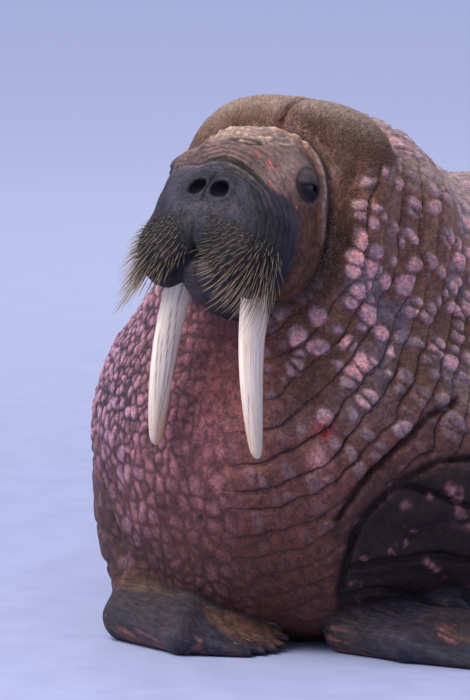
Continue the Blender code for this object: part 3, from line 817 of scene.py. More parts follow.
def rowsOf(points, normals):
    # furrows lie in shells round a point before and above the head, wavering, each
    # phase = distance / gap + noise; the bosses of one shell stand at its own random places,
    # like beads: how far a place is from one counts both ways along the skin
    away = points - hideLook["furrowFrom"]
    reach = lengthOf(away)
    gap = hideLook["furrowGap"]
    across = lengthOf(away - (away * normals).sum(-1)[:, None] * normals) / reach
    phase = reach / gap + 0.26 * noise(points, 0.07, 21) + 0.55 * noise(points, 0.28, 22)
    phase = phase + 0.12 * noise(points, 0.035, 24)
    row = np.round(phase)
    place = away * (row / phase)[:, None] + row[:, None] * (0.31, 0.17, 0.23)
    place = place + 0.014 * waver(points, 0.06, 25)
    near, second, number = cellsOf(place, hideLook["bossSize"], 11)
    fromRow = (phase - row) * gap / hideLook["bossSize"] / np.maximum(across, 0.35)
    return phase, np.hypot(near, 0.72 * fromRow), second - near, number


def hideRelief(points, normals, region):  # height over the skin, and what stands where
    x, y, z = points.T
    side, rear = region["side"], region["rear"]
    bare = (1 - region["hood"]) * (1 - region["arm"]) * (1 - region["hand"]) * ramp(z, 0.02, 0.09)
    calm = 1 - 0.93 * region["throat"]
    warped = points + 0.007 * waver(points, 0.05, 33)
    small = cellsOf(warped * (1, 1, 0.62), hideLook["cobbleSize"], 3)
    large = cellsOf(warped * (1, 1, 0.85), hideLook["plateSize"], 4)
    lower = 1 - ramp(z + region["wander"], 0.40, 0.54)
    gap = mix(small[1] - small[0], large[1] - large[0], lower)
    chest = bare * (1 - side) * calm
    chest = chest * (0.45 + 0.55 * ramp(z + region["wander"], 0.26, 0.46))
    cobble = ramp(gap, 0.02, 0.50) * chest * (0.55 + 0.45 * mix(small[2], large[2], lower))
    # where painted shade goes in the gaps between cobbles, wider on the chest's right side
    groove = 1 - ramp(gap, 0.0, 0.34 - 0.10 * ramp(x, -0.34, -0.05))
    groove = groove * chest * (1 - 0.45 * lower)
    phase, near, apart, number = rowsOf(points, normals)
    crowded = 0.08 * ramp(z, 0.55, 0.85)
    wide = np.minimum(0.45 + crowded + 0.24 * number - near, 0.9 * apart)
    patchy = ramp(noise(points, 0.20, 5), -1.0 + 0.8 * rear, -0.5 + 0.8 * rear)
    boss = ramp(wide, 0.0, 0.20) * (number > 0.06) * patchy * bare * side * calm
    boss = boss * (1 - 0.80 * rear) * (1 - 0.35 * region["back"]) * ramp(z, 0.12, 0.66)
    fromLine = np.abs(phase - np.round(phase))
    furrow = bare * side * calm * (1 - 0.55 * rear) * (1 - 0.6 * region["back"])
    furrow = furrow * (0.62 + 0.38 * ramp(noise(points, 0.13, 23), -0.45, 0.15))
    furrow = furrow * (0.35 + 0.65 * ramp(z + 2 * region["wander"], 0.28, 0.52))
    line = bell(0.5 - fromLine, 0.095) * furrow
    folds = np.maximum(foldsAt(points), 0.35 * foldsAt(points, -1))
    broad = roughNoise(points * (1.0, 1.0, 1.5), 0.11, 51)
    creased = 1 - np.abs(roughNoise(points * (0.8, 2.2, 0.9), 0.20, 55))  # slack at the rear
    height = mix(hideLook["cobbleHeight"], 0.0036, lower) * cobble
    height = height + hideLook["bossHeight"] * boss - hideLook["furrowDepth"] * line
    height = height - 0.016 * folds - 0.010 * rear * bare * ramp(creased, 0.86, 1.0)
    height = height + 0.0050 * broad * (1 - region["hand"]) * (1 - region["hood"])
    height = height + 0.0016 * roughNoise(points, 0.028, 61) * (1 - 0.5 * region["hand"])
    armWrinkle = np.sin(62 * (0.35 * y + z) + 4.5 * noise(points, 0.08, 71))
    height = height + 0.0026 * region["arm"] * armWrinkle
    for place, radius, _, _, rise in marks:
        height = height + rise * bell(lengthOf(points - place), radius)
    local = headPlace(points)
    notch = local[:, 0] - 0.016 + 0.35 * (local[:, 1] + 0.09) - 0.004 * noise(points, 0.03, 64)
    notch = bell(notch, 0.009) * region["hood"] * ramp(local[:, 2], 0.09, 0.12)
    notch = notch * ramp(local[:, 1], -0.26, -0.12)
    height = height - 0.013 * notch
    found = {
        "notch": notch, "cobble": cobble, "groove": groove, "boss": boss, "phase": phase,
        "furrow": furrow, "fold": folds, "number": number,
    }
    return height * ramp(z, 0.002, 0.03), found


def hideColour(points, normals, region, found):
    look = hideLook
    z = points[:, 2]
    patch = 0.5 + 0.5 * roughNoise(points, 0.11, 81)
    fine = 0.5 + 0.5 * roughNoise(points, 0.030, 82)
    side, rear = region["side"], region["rear"]
    colour = blend(look["lowChest"], look["chest"], ramp(z, 0.15, 0.6))
    greyed = ramp(patch, 0.45, 0.75) * ramp(z, 0.48, 0.68)
    neck = blend(look["neck"], look["grey"], greyed)
    neck = neck * (1 + 0.60 * ramp(z, 0.62, 0.95))[:, None]
    colour = blend(colour, neck, side * ramp(z, 0.30, 0.70) * (1 - rear))
    # painted sunlight: the pale back tone where the skin faces up, and on the rump higher up
    colour = blend(colour, blend(look["belly"], look["back"], ramp(z, 0.1, 0.6)),
                   0.90 * np.maximum(rear, region["back"]))
    colour = blend(colour, look["throat"], 0.9 * region["throat"])
    colour = blend(colour, look["belly"] * 0.7, region["low"] * 0.45)
    # painted shade low on the hood, then painted light where it faces up
    hoodColour = blend(look["hoodShadedLow"], look["hood"], ramp(z + 0.1 * patch, 1.00, 1.28))
    hoodColour = blend(hoodColour, look["hoodLitTop"], ramp(normals[:, 2], 0.35, 0.98))
    rust = region["hood"] * ramp(noise(points, 0.05, 83), 0.25, 0.6) * (1 - ramp(z, 1.12, 1.22))
    hoodColour = blend(hoodColour, look["rust"], 0.45 * rust)
    hoodColour = blend(hoodColour, look["scar"] * 0.7, 0.7 * found["notch"])
    colour = blend(colour, hoodColour, region["hood"])
    colour = blend(colour, look["cobble"], 0.90 * found["cobble"] * (0.45 + 0.7 * fine))
    pink = found["boss"] * (0.62 + 0.4 * patch) * (0.70 + 0.30 * found["number"])
    pink = pink * (0.45 + 0.65 * ramp(z, 0.42, 0.80))
    colour = blend(colour, look["ring"], np.clip(1.2 * pink, 0, 1))
    freckle = 0.45 + 0.55 * ramp(noise(points, 0.010, 84), -0.15, 0.45)
    colour = blend(colour, look["pink"], ramp(pink, 0.35, 0.85) * freckle)
    # painted bluish sky light on the cobbles of the chest's right front
    skyLitLilac = (1 - side) * (1 - ramp(points[:, 0] + region["wander"], -0.34, -0.10))
    skyLitLilac = skyLitLilac * (1 - ramp(points[:, 1], -0.02, 0.16))
    colour = blend(colour, look["skyLitLilac"], 0.75 * skyLitLilac * found["cobble"])
    # painted shade in the gaps between cobbles
    colour = blend(colour, look["groove"], (0.85 + 0.15 * skyLitLilac) * found["groove"])
    spots = ramp(fine, 0.60, 0.72) * ramp(patch, 0.40, 0.58)
    armColour = blend(look["arm"], look["armPink"], 0.8 * spots)
    armColour = blend(armColour, look["arm"] * 0.6, 1 - ramp(z, 0.02, 0.25))
    colour = blend(colour, armColour, region["arm"])
    colour = blend(colour, handColour(points), region["hand"])
    # painted shade in the arm's carved folds
    colour = blend(colour, look["furrow"], 0.85 * found["fold"])
    for place, radius, name, strength, _ in marks:
        spot = bell(lengthOf(points - place), radius) * strength
        colour = blend(colour, look[name], spot)
    # painted shade in the crease where the body's skin meets the face
    headCreaseShade = 1 - ramp(nearHead(points), 0.0, 0.022)
    colour = blend(colour, look["furrow"], 0.60 * headCreaseShade)
    lowShade = 1 - 0.34 * (1 - ramp(z, 0.10, 0.62))
    return colour * ((0.70 + 0.60 * patch) * lowShade)[:, None]


def handColour(points):  # tan wrist, slate upper edge and streaks along the digits
    look = hideLook
    flow = handFlow(points)
    streak = ramp(noise(flow, 0.007, 91), 0.30, 0.62) * ramp(noise(flow, 0.04, 92), -0.2, 0.4)
    fine = 0.5 + 0.5 * noise(flow, 0.007, 93)
    colour = blend(look["flipper"], look["slate"], ramp(noise(points, 0.12, 94), -0.3, 0.4))
    colour = blend(colour, look["tan"], 0.75 * ramp(noise(flow, 0.035, 95), 0.05, 0.6))
    colour = colour * (0.70 + 0.55 * fine)[:, None]
    return blend(colour, look["streak"], 0.70 * streak)


def handAxes(hand):  # the middle of the wrist and the way from there to the tips
    front, back = handEnds(hand)
    return (front[0] + back[0]) / 2, unit((front[2] + back[2] - front[0] - back[0]) / 2)


def handFlow(points):  # the places of each hand's skin, drawn together along its digits
    flow = points.copy()
    for word, hand in flippers.items():
        wrist, along = handAxes(hand)
        reach = (points - wrist) @ along
        near = flipperFields[word](points) < 0.03
        fan = 1 / (1 + 1.3 * np.clip(reach, 0, 0.6))
        squeezed = wrist + (points - wrist - reach[:, None] * along) * fan[:, None]
        squeezed = squeezed + 0.10 * reach[:, None] * along
        flow[near] = squeezed[near]
    return flow


def flowOf(points, region):  # places drawn together the way the hair and wrinkles run
    origin, along = inHead(*hood["place"]), headAxes[:, 1]
    body = points * (1, 0.45, 0.85)
    onHood = points - 0.72 * ((points - origin) @ along)[:, None] * along
    flow = blend(body, onHood, region["hood"])
    return blend(flow, handFlow(points), region["hand"])


def hideMaterial():
    tree = Tree("walrusHide", Roughness=0.58, Specular_IOR_Level=0.28)
    place, flow = tree.place(), tree.attribute("flow", "Vector")
    tint = tree.attribute("tint", "Color")
    furrow, phase = tree.attribute("furrow"), tree.attribute("phase")
    fur = tree.attribute("fur")
    broken = tree.noise(place, 60, 3)
    phase = tree.plus(phase, tree.times(broken, 0.16))
    fromLine = tree.fromHalf(tree.sum("FRACT", phase))
    line = tree.times(tree.step(fromLine, 0.435, 0.49), furrow)
    blotch = tree.noise(place, 42, 5, 0.65)
    grain = tree.noise(flow, 210, 5, 0.65)
    ridge = tree.noise(flow, 62, 5, 0.62)
    crease = tree.step(tree.fromHalf(ridge), 0.0, 0.035, 1.0, 0.0)
    strands = tree.noise(flow, 380, 3, 0.6)
    colour = tree.mottled(blotch, 0.32, 0.70, tint, (0.62, 0.60, 0.66), (1.34, 1.26, 1.20))
    colour = tree.pitted(colour, grain, 0.28, 0.66, 0.62, 1.28)
    pale = tree.times(tree.step(strands, 0.52, 0.70), fur)
    colour = tree.mix(tree.times(pale, 0.65), colour, shade(190, 164, 142))
    # painted shade: the fine creases and the furrow lines darkened
    colour = tree.mix(tree.times(crease, 0.12), colour, hideLook["furrow"])
    colour = tree.mix(tree.times(line, 0.85), colour, hideLook["furrow"] * 0.5)
    height = tree.plus(tree.times(grain, 0.8), tree.times(blotch, 0.8))
    height = tree.less(height, tree.times(crease, 0.35))
    height = tree.less(height, tree.times(line, 2.2))
    normal = tree.bump(height, 0.0022)
    normal = tree.bump(strands, 0.0025, tree.times(fur, 0.8), normal)
    rough = tree.step(grain, 0.3, 0.7, 0.46, 0.76)
    return tree.finish(Base_Color=colour, Normal=normal, Roughness=rough)


skinNet = {
    "low": (-0.74, -0.56, -0.03), "high": (0.80, 2.75, 1.36), "step": (0.010, 0.014, 0.010),
    "reach": 0.06,
}
cutEdge = {"turnedIn": 0.004, "reach": 0.03}


def bodySkin():
    points, quads = netOf(bodyDistance, **skinNet)
    points, quads = quartered(settled(bodyDistance, points, 1), quads)
    points = settled(bodyDistance, points, 2)
    normals = normalsOf(points, quads)
    region = regionsOf(points, normals)
    height, found = hideRelief(points, normals, region)
    colour = hideColour(points, normals, region, found)
    flow = flowOf(points, region)
    points = points + normals * height[:, None]
    points[:, 2] = np.maximum(points[:, 2], floorGap)
    coat = np.maximum(region["hood"], 0.55 * np.maximum(region["back"], 0.6 * region["rear"]))
    coat = coat * (1 - region["hand"]) * (1 - region["arm"]) * (1 - 0.6 * found["boss"])
    # furrow carries the furrows' strength to the material, for their bump and their painted shade
    numbers = {"phase": found["phase"] + 0.5, "furrow": found["furrow"], "fur": coat}
    return points, quads, normalsOf(points, quads), colour, flow, numbers


skinPieces = (  # name, front edge along Y, and the solids it stands for
    ("skinChest", -1.0, ("chest",)),
    ("skinNeck", -0.06, ("neck",)),
    ("skinShoulders", 0.20, ("foreleg_left", "foreleg_right")),
    ("skinTorso", 0.66, ("torso", "foreflipper_left", "foreflipper_right")),
    ("skinLoins", 1.24, ("hindquarters",)),
    ("skinRear", 1.84, ("hindflipper_left", "hindflipper_right", "tail")),
)


def makeSkin(skin):  # one skin, in lengths that share their edges' points and normals
    points, quads, normals, colour, flow, numbers = skin
    material = hideMaterial()
    middle = points[quads].mean(1)[:, 1]
    starts = [row[1] for row in skinPieces] + [9.0]
    for (name, start, nodes), end in zip(skinPieces, starts[1:]):
        kept = quads[(middle >= start) & (middle < end)]
        used, faces, places = pieceOf(kept, points, normals)
        made = meshOf(name, places, faces, material)
        closeEnds(made, (((0, -1, 0), -start), ((0, 1, 0), end)))
        addColour(made, "tint", colour[used])
        addVector(made, "flow", flow[used])
        for key, values in numbers.items():
            addNumber(made, key, values[used])
        setNormals(made, normals[used])
        finish(made, "hide", *nodes)
        print("skin length:", name, len(kept), "faces")


def pieceOf(quads, points, normals):  # a length of skin, its cut edges turned inward
    used, faces = np.unique(quads, return_inverse=True)
    faces = faces.reshape(-1, 4)
    edges = np.concatenate([faces[:, [k, (k + 1) % 4]] for k in range(4)])
    _, first, count = np.unique(np.sort(edges, 1), axis=0, return_index=True, return_counts=True)
    rim = edges[first[count == 1]]
    ids = np.unique(rim)
    inner = len(used) + np.searchsorted(ids, rim)
    turned = np.stack([rim[:, 1], rim[:, 0], inner[:, 0], inner[:, 1]], 1)
    used = np.append(used, used[ids])
    places = points[used].copy()
    places[-len(ids):] -= cutEdge["turnedIn"] * normals[used[-len(ids):]]
    return used, np.concatenate([faces, turned]), places


def closeEnds(made, ends):  # faces over the turned edges, which look out along each cut
    shape = bmesh.new()
    shape.from_mesh(made.data)
    rim = [edge for edge in shape.edges if edge.is_boundary]
    for way, reach in ends:
        out = Vector(way)
        near = [
            edge for edge in rim if abs(edge.verts[0].co @ out - reach) < cutEdge["reach"]
        ]
        for normal in (out, -out):  # the fill can fail from one side
            covers = bmesh.ops.triangle_fill(
                shape, use_beauty=True, edges=near, normal=normal)["geom"]
            covers = [face for face in covers if isinstance(face, bmesh.types.BMFace)]
            if not any(edge.is_boundary for edge in near):
                break
            bmesh.ops.delete(shape, geom=covers, context="FACES")
        if sum(face.normal @ out * face.calc_area() for face in covers) < 0:
            bmesh.ops.reverse_faces(shape, faces=covers)
    shape.to_mesh(made.data)
    shape.free()


bodyMade = bodySkin()
makeSkin(bodyMade)


# The coat: short tufts that lie back over the hood and, sparser, over back and rump
coat = {
    "hoodTufts": 30000, "backTufts": 22000, "perPiece": 15500, "hoodLength": (0.008, 0.015),
    "backLength": (0.009, 0.017), "hoodLift": 0.30, "backLift": 0.14, "radius": 0.00085,
}


def tuftMaterial():
    tree = Tree("walrusFur", Roughness=0.7, Specular_IOR_Level=0.25)
    tint = tree.attribute("tint", "Color")
    streak = tree.noise(tree.place((1, 0.5, 1)), 160, 3)
    colour = tree.mottled(streak, 0.3, 0.7, tint, (0.8, 0.8, 0.8), (1.25, 1.2, 1.15))
    return tree.finish(Base_Color=colour)


def scattered(points, quads, weight, count, draw):  # random places on the faces, by weight
    a, b, c, d = (points[quads[:, i]] for i in range(4))
    area = lengthOf(np.cross(c - a, d - b)) * weight[quads].mean(1)
    chosen = draw.choice(len(quads), count, p=area / area.sum())
    u, v = draw.random((2, count, 1))
    share = np.stack([(1 - u) * (1 - v), u * (1 - v), u * v, (1 - u) * v], 1)
    return quads[chosen], share


def unwrapped(places, onHood):
    # the skin laid flat by its own shape: angle round the hood's ring and round its roll,
    # or angle round the trunk and length along it
    if onHood:
        local = (places - inHead(*hood["place"])) @ headAxes
        around = np.arctan2(local[:, 0] / hood["radii"][0], local[:, 2] / hood["radii"][1])
        reach = np.hypot(local[:, 0] / hood["radii"][0], local[:, 2] / hood["radii"][1]) - 1
        roll = np.arctan2(local[:, 1], reach * min(hood["radii"]))
        flat = np.stack([around, roll], -1) / (2 * math.pi) + 0.5
    else:
        around = np.arctan2(places[:, 0], places[:, 2] - 0.35) / (2 * math.pi) + 0.5
        flat = np.stack([around, (places[:, 1] + 0.6) / 3.4], -1)
    return np.clip(flat, 0.002, 0.995)


def makeCoat(skin, prefix, onHood, count, lengths, lift):
    # tuft: root + length (lie s + lift normal (s - 0.45 s^2)), s from root to tip
    points, quads, normals, colour, _, numbers = skin
    draw = np.random.default_rng(31 if onHood else 32)
    isHood = 1 - ramp(hoodField(points), 0.005, 0.05)
    clear = ramp(nearHead(points), 0.012, 0.040)
    weight = numbers["fur"] * (isHood if onHood else 1 - isHood) * clear
    weight = weight * ramp(points[:, 2], 0.05, 0.12)
    corner, share = scattered(points, quads, weight, count, draw)
    root = (points[corner] * share).sum(1)
    normal = unit((normals[corner] * share).sum(1))
    tint = (colour[corner] * share).sum(1)
    if onHood:
        centre = inHead(*hood["place"])
        outward = root - centre
        outward = unit(outward - (outward @ headAxes[:, 1])[:, None] * headAxes[:, 1])
        lie = 0.5 * outward - 0.9 * headAxes[:, 1] - 0.25 * np.array((0, 0, 1.0))
    else:
        lie = np.broadcast_to((0.0, 1.0, -0.28), root.shape)
    sway = waver(root, 0.03, 36)
    lie = lie + 0.55 * sway + draw.normal(0, 0.16, root.shape)
    lie = unit(lie - (lie * normal).sum(1)[:, None] * normal)
    length = draw.uniform(*lengths, count)[:, None, None]
    s = np.array((0.0, 0.5, 1.0))[None, :, None]
    rise = lift * draw.uniform(0.6, 1.4, count)[:, None, None] * (s - 0.45 * s**2)
    lines = root[:, None] + length * (lie[:, None] * s + rise * normal[:, None])
    lines = lines - 0.002 * normal[:, None] * (1 - np.minimum(2 * s, 1))
    radii = coat["radius"] * draw.uniform(0.7, 1.3, count)[:, None] * np.array((1.0, 0.75, 0.0))
    lines[:, 2] = np.where((lines[:, 2, 2] < 0.002)[:, None], lines[:, 1], lines[:, 2])
    shadeOf = draw.uniform(0.75, 1.55, count)[:, None]
    tint = np.clip(tint * shadeOf + 0.008, 0, 1)
    flat = unwrapped(root, onHood)
    material = tuftMaterial()
    for number, start in enumerate(range(0, count, coat["perPiece"])):
        part = slice(start, start + coat["perPiece"])
        tubes, faces = tubesOf(lines[part], radii[part], 3)
        made = meshOf(f"{prefix}{number + 1}", tubes, faces, material)
        spot = np.array([(0, 0), (1, 0), (0.5, 0.2), (0, 0.5), (1, 0.5), (0.5, 0.7), (0.4, 0.1),
                         (0.5, 1)])
        uv = (flat[part][:, None] + 0.003 * (spot - 0.5)).reshape(-1, 2)
        layer = made.data.uv_layers.new(name="OFBake")
        layer.data.foreach_set("uv", uv[faces].astype(np.float32).ravel())
        bright = np.array((0.7, 0.7, 0.7, 1, 1, 1, 0.7, 1.25))[None, :, None]
        addColour(made, "tint", (tint[part][:, None] * bright).reshape(-1, 3))
        finish(made, "hide")
    print("coat:", prefix, count, "tufts")


makeCoat(bodyMade, "furHood", True, coat["hoodTufts"], coat["hoodLength"], coat["hoodLift"])
makeCoat(bodyMade, "furBack", False, coat["backTufts"], coat["backLength"], coat["backLift"])


nails = {  # at: how far along the last length of the digit each sits
    "size": (0.013, 0.0055, 0.0030), "small": 0.5, "lift": 0.0006, "at": 0.86,
    "rows": 7, "columns": 12,
}


def makeNails():  # a flat lens on each digit, its long axis the way the digit points
    tree = Tree("nailHorn", Roughness=0.45)
    grain = tree.noise(tree.place(), 260, 3)
    colour = tree.mix(tree.step(grain, 0.35, 0.65), shade(40, 32, 30), shade(74, 58, 50))
    material = tree.finish(Base_Color=colour)
    shape, faces = globe(nails["rows"], nails["columns"])
    allPoints, allFaces = [], []
    for word, hand in flippers.items():
        digits = [line for line, isDigit in digitLines(hand) if isDigit]
        for number, (_, knuckle, tip) in enumerate(digits):
            size = 1.0 if word.startswith("fore") or 0 < number < 4 else nails["small"]
            along = unit(tip - knuckle)
            start = (knuckle + nails["at"] * (tip - knuckle) + (0, 0, 0.03))[None]
            spot = settled(bodyDistance, start, 8)
            normal = unit(slopeOf(bodyDistance, spot))[0]
            along = unit(along - (along @ normal) * normal)
            axes = np.stack([along, np.cross(normal, along), normal])
            sized = shape * size * nails["size"]
            allFaces.append(faces + len(shape) * len(allPoints))
            allPoints.append(spot + (sized + (0, 0, nails["lift"])) @ axes)
    made = meshOf("nails", np.vstack(allPoints), np.vstack(allFaces), material)
    finish(made, "flipper")


makeNails()


# Whiskers: rows over each pad, short bristles above and long ones below and outward
whiskers = {
    "rows": 20, "inRow": 19, "shortest": 0.011, "longest": 0.115, "radius": 0.00125, "rings": 8,
    "high": (0.66, -1.02), "turn": (-1.52, 1.40), "sides": 5,
}


def whiskerRoots():  # where each leaves the pad, with how far down and how far out it stands
    draw = np.random.default_rng(21)
    rows, inRow = whiskers["rows"], whiskers["inRow"]
    found = []
    for side in (1, -1):
        row, spot = (
            grid.ravel() for grid in np.meshgrid(np.arange(rows), np.arange(inRow), indexing="ij")
        )
        drop = row / (rows - 1)
        out = (spot + 0.5 * (row % 2)) / (inRow - 0.5)
        high = mix(*whiskers["high"], drop**0.92) + draw.normal(0, 0.014, len(row))
        turn = mix(*whiskers["turn"], out) + draw.normal(0, 0.018, len(row))
        high = high - 0.13 * np.clip(turn + 0.4, 0, 2) ** 2 * (1 - drop)
        way = np.stack([side * np.sin(turn), np.cos(turn) * np.cos(high), np.sin(high)], -1)
        place = onSide(pad["place"], side)
        root = settled(lipField, eyesMid + (place + way * pad["radii"]) @ headAxes.T, 8)
        local = headPlace(root)
        own = side * (local[:, 0] + 0.003) > 0.002
        own &= mouthGap(local) > 0.003
        own &= (jawField(root) > 0.004) & (np.abs(lipField(root)) < 0.001)
        found.append([values[own] for values in (root, drop, out, np.full(len(row), side))])
    return [np.concatenate(values) for values in zip(*found)]


rootPlace, rootDrop, rootOut, rootSide = whiskerRoots()
rootTree = KDTree(len(rootPlace))
for number, spot in enumerate(rootPlace):
    rootTree.insert(spot, number)
rootTree.balance()

# The face: skin from the hood's fold forward, with muzzle, lids, nostrils and mouth
faceLook = {
    "slate": shade(27, 24, 31), "slateLight": shade(64, 57, 72), "brow": shade(124, 96, 90),
    "browDark": shade(84, 60, 58), "rim": shade(194, 166, 142), "orange": shade(176, 98, 46),
    "cheek": shade(98, 62, 46), "nose": shade(22, 20, 28), "padDark": shade(20, 16, 19),
    "padPink": shade(96, 58, 66), "chin": shade(54, 46, 52), "scar": shade(190, 100, 96),
    # the last tone here is near-black, painted shade for the face's creases, grooves and mouth line
    "lid": shade(72, 60, 64), "lidDark": shade(20, 19, 27), "creaseShade": shade(22, 14, 17),
    "root": shade(20, 16, 20),
}
muzzleMid = (0, 0.166, -0.186)  # the face's wrinkles run in rings round this
wrinkles = (  # distance from there, half width, depth, and how far out they run
    (0.197, 0.0058, 0.0120, 0.085), (0.2095, 0.0036, 0.0042, 0.100),
    (0.2215, 0.0038, 0.0044, 0.090), (0.2345, 0.0040, 0.0036, 0.110),
    (0.2480, 0.0038, 0.0030, 0.100),
)
cheekLines = (0.140, 0.150, 0.159, 0.170, 0.181, 0.192, 0.2045, 0.216, 0.227)
scars = (  # left, forward and up of each end, and its radius
    ((0.066, 0.086, 0.030), (0.080, 0.084, 0.020), 0.0022),
    ((0.102, 0.074, 0.016), (0.111, 0.070, 0.000), 0.0026),
    ((0.094, 0.074, 0.008), (0.104, 0.072, -0.002), 0.0018),
    ((0.117, 0.086, -0.032), (0.127, 0.086, -0.046), 0.0019),
    ((0.176, 0.043, -0.076), (0.180, 0.039, -0.084), 0.0022),
)


def nearestScar(local):  # distance to the nearest scar, in that scar's radii
    away = []
    for *ends, radius in scars:
        ends = np.array([inHead(*place) for place in ends])
        away.append(fromRun(local, *headPlace(settled(faceDistance, ends, 8))) / radius)
    return np.min(away, 0)


def faceRegions(points):
    local = headPlace(points)
    left, forward, up = local.T
    wander = 0.006 * noise(points, 0.05, 23) + 0.003 * noise(points, 0.02, 24)
    reach = lengthOf(local - muzzleMid) - 0.5 * np.maximum(-left - 0.06, 0) + 0.6 * wander
    fromEye = np.minimum(*(lengthOf(local - onSide(eye["place"], side)) for side in (1, -1)))
    fromNose = np.minimum(*(lengthOf(local - nostrilPlace(side)) for side in (1, -1)))
    rimAt = -0.066 + 0.06 * np.maximum(-up - 0.03, 0) - 0.06 * np.maximum(up, 0)
    crest = ramp(up + wander, 0.040, 0.058) * (1 - ramp(np.abs(left - 0.01), 0.085, 0.125))
    rootGap = np.full(len(points), 1.0)
    onPad = (np.abs(lipField(points)) < 0.004) & (up < -0.12) & (forward > -0.04)
    rootGap[onPad] = [rootTree.find(spot)[2] for spot in points[onPad].tolist()]
    return {
        "local": local, "reach": reach, "eye": fromEye, "nose": fromNose, "wander": wander,
        "behindRim": forward - rimAt + wander, "crest": crest, "root": rootGap,
        "pad": 1 - ramp(rootGap, 0.006, 0.022),
    }


def faceRelief(points, region):
    left, forward, up = region["local"].T
    reach, fromEye = region["reach"], region["eye"]
    offEye = ramp(fromEye, 0.040, 0.052)
    above = ramp(up, -0.125, -0.085) * offEye
    height, dark, pale = np.zeros((3, len(points)))
    for away, wide, depth, out in wrinkles:
        fade = 1 - 0.62 * ramp(left, 0.6 * out, out + 0.04)
        fade = fade * (0.75 + 0.25 * noise(points, 0.05, int(away * 1e4)))
        line = bell(reach - away, wide) * above * fade
        lip = bell(reach - away + 2.1 * wide, 1.2 * wide) * above * fade
        height += 0.45 * depth * lip - depth * line
        pale = np.maximum(pale, lip * np.minimum(depth / 0.0100, 1))
        # dark: how much painted shade each wrinkle and, below, each cheek line gets
        dark = np.maximum(dark, line * np.minimum(depth / 0.0060, 1))
    cheek = ramp(np.abs(left), 0.035, 0.09) * ramp(up, -0.24, -0.18) * offEye
    for away in cheekLines:
        near = bell(reach - away + 0.35 * region["wander"], 0.0024) * cheek
        near = near * ramp(noise(points * (1, 1, 0.5), 0.07, int(away * 1e4)), -0.45, 0.25)
        height -= 0.0022 * near
        dark = np.maximum(dark, 0.65 * near)
    knob = 1 - ramp(cellsOf(points * (1, 0.8, 1.3), 0.019, 15)[0], 0.10, 0.62)
    folds = np.sin(2 * math.pi * (up + 0.25 * forward) / 0.015 + 4 * noise(points, 0.04, 16))
    height += region["crest"] * (0.0022 * knob + 0.0022 * folds - 0.0006)
    slot = lengthOf((region["local"] - (0.036, 0.085, 0.052)) / (0.034, 0.030, 0.0060))
    slot = bell(slot - 1, 0.35) * (forward > 0)
    height -= 0.0034 * slot
    onRim = bell(region["behindRim"], 0.011) * ramp(up, -0.30, -0.10)
    inGroove = bell(region["behindRim"] - 0.021, 0.006) * ramp(up, -0.20, -0.05)
    height += 0.0050 * onRim * (0.90 + 0.14 * knob) - 0.0022 * inGroove
    lidFold = bell(fromEye - 0.0425, 0.0030)
    height -= 0.0026 * lidFold * (0.6 + 0.4 * noise(points, 0.02, 26))
    septum = bell(left + 0.006, 0.0036) * ramp(forward, 0.07, 0.10)
    septum = septum * ramp(up, -0.118, -0.100) * (1 - ramp(up, -0.040, -0.022))
    lipGroove = bell(left + 0.003, 0.0046) * (1 - ramp(up, -0.185, -0.150))
    lipGroove = lipGroove * ramp(forward, 0.10, 0.13)
    height -= 0.0055 * septum + 0.0030 * lipGroove
    brim = bell(region["nose"] - 0.031, 0.007)
    height += 0.0016 * brim
    pit = bell(region["root"], 0.0022)
    mound = bell(region["root"] - 0.0042, 0.0020)
    height += 0.0012 * mound * region["pad"] - 0.0012 * pit
    granule = cellsOf(points, 0.0065, 18)[0]
    height += 0.0007 * (0.6 - granule) * (1 - ramp(reach, 0.17, 0.21))
    height += 0.0014 * roughNoise(points, 0.022, 17) * ramp(fromEye, 0.02, 0.04)
    region.update(dark=dark, pale=pale, slot=slot, rim=onRim, groove=inGroove, knob=knob, brim=brim,
                  centre=np.maximum(septum, lipGroove), pit=pit, lidFold=lidFold)
    return height


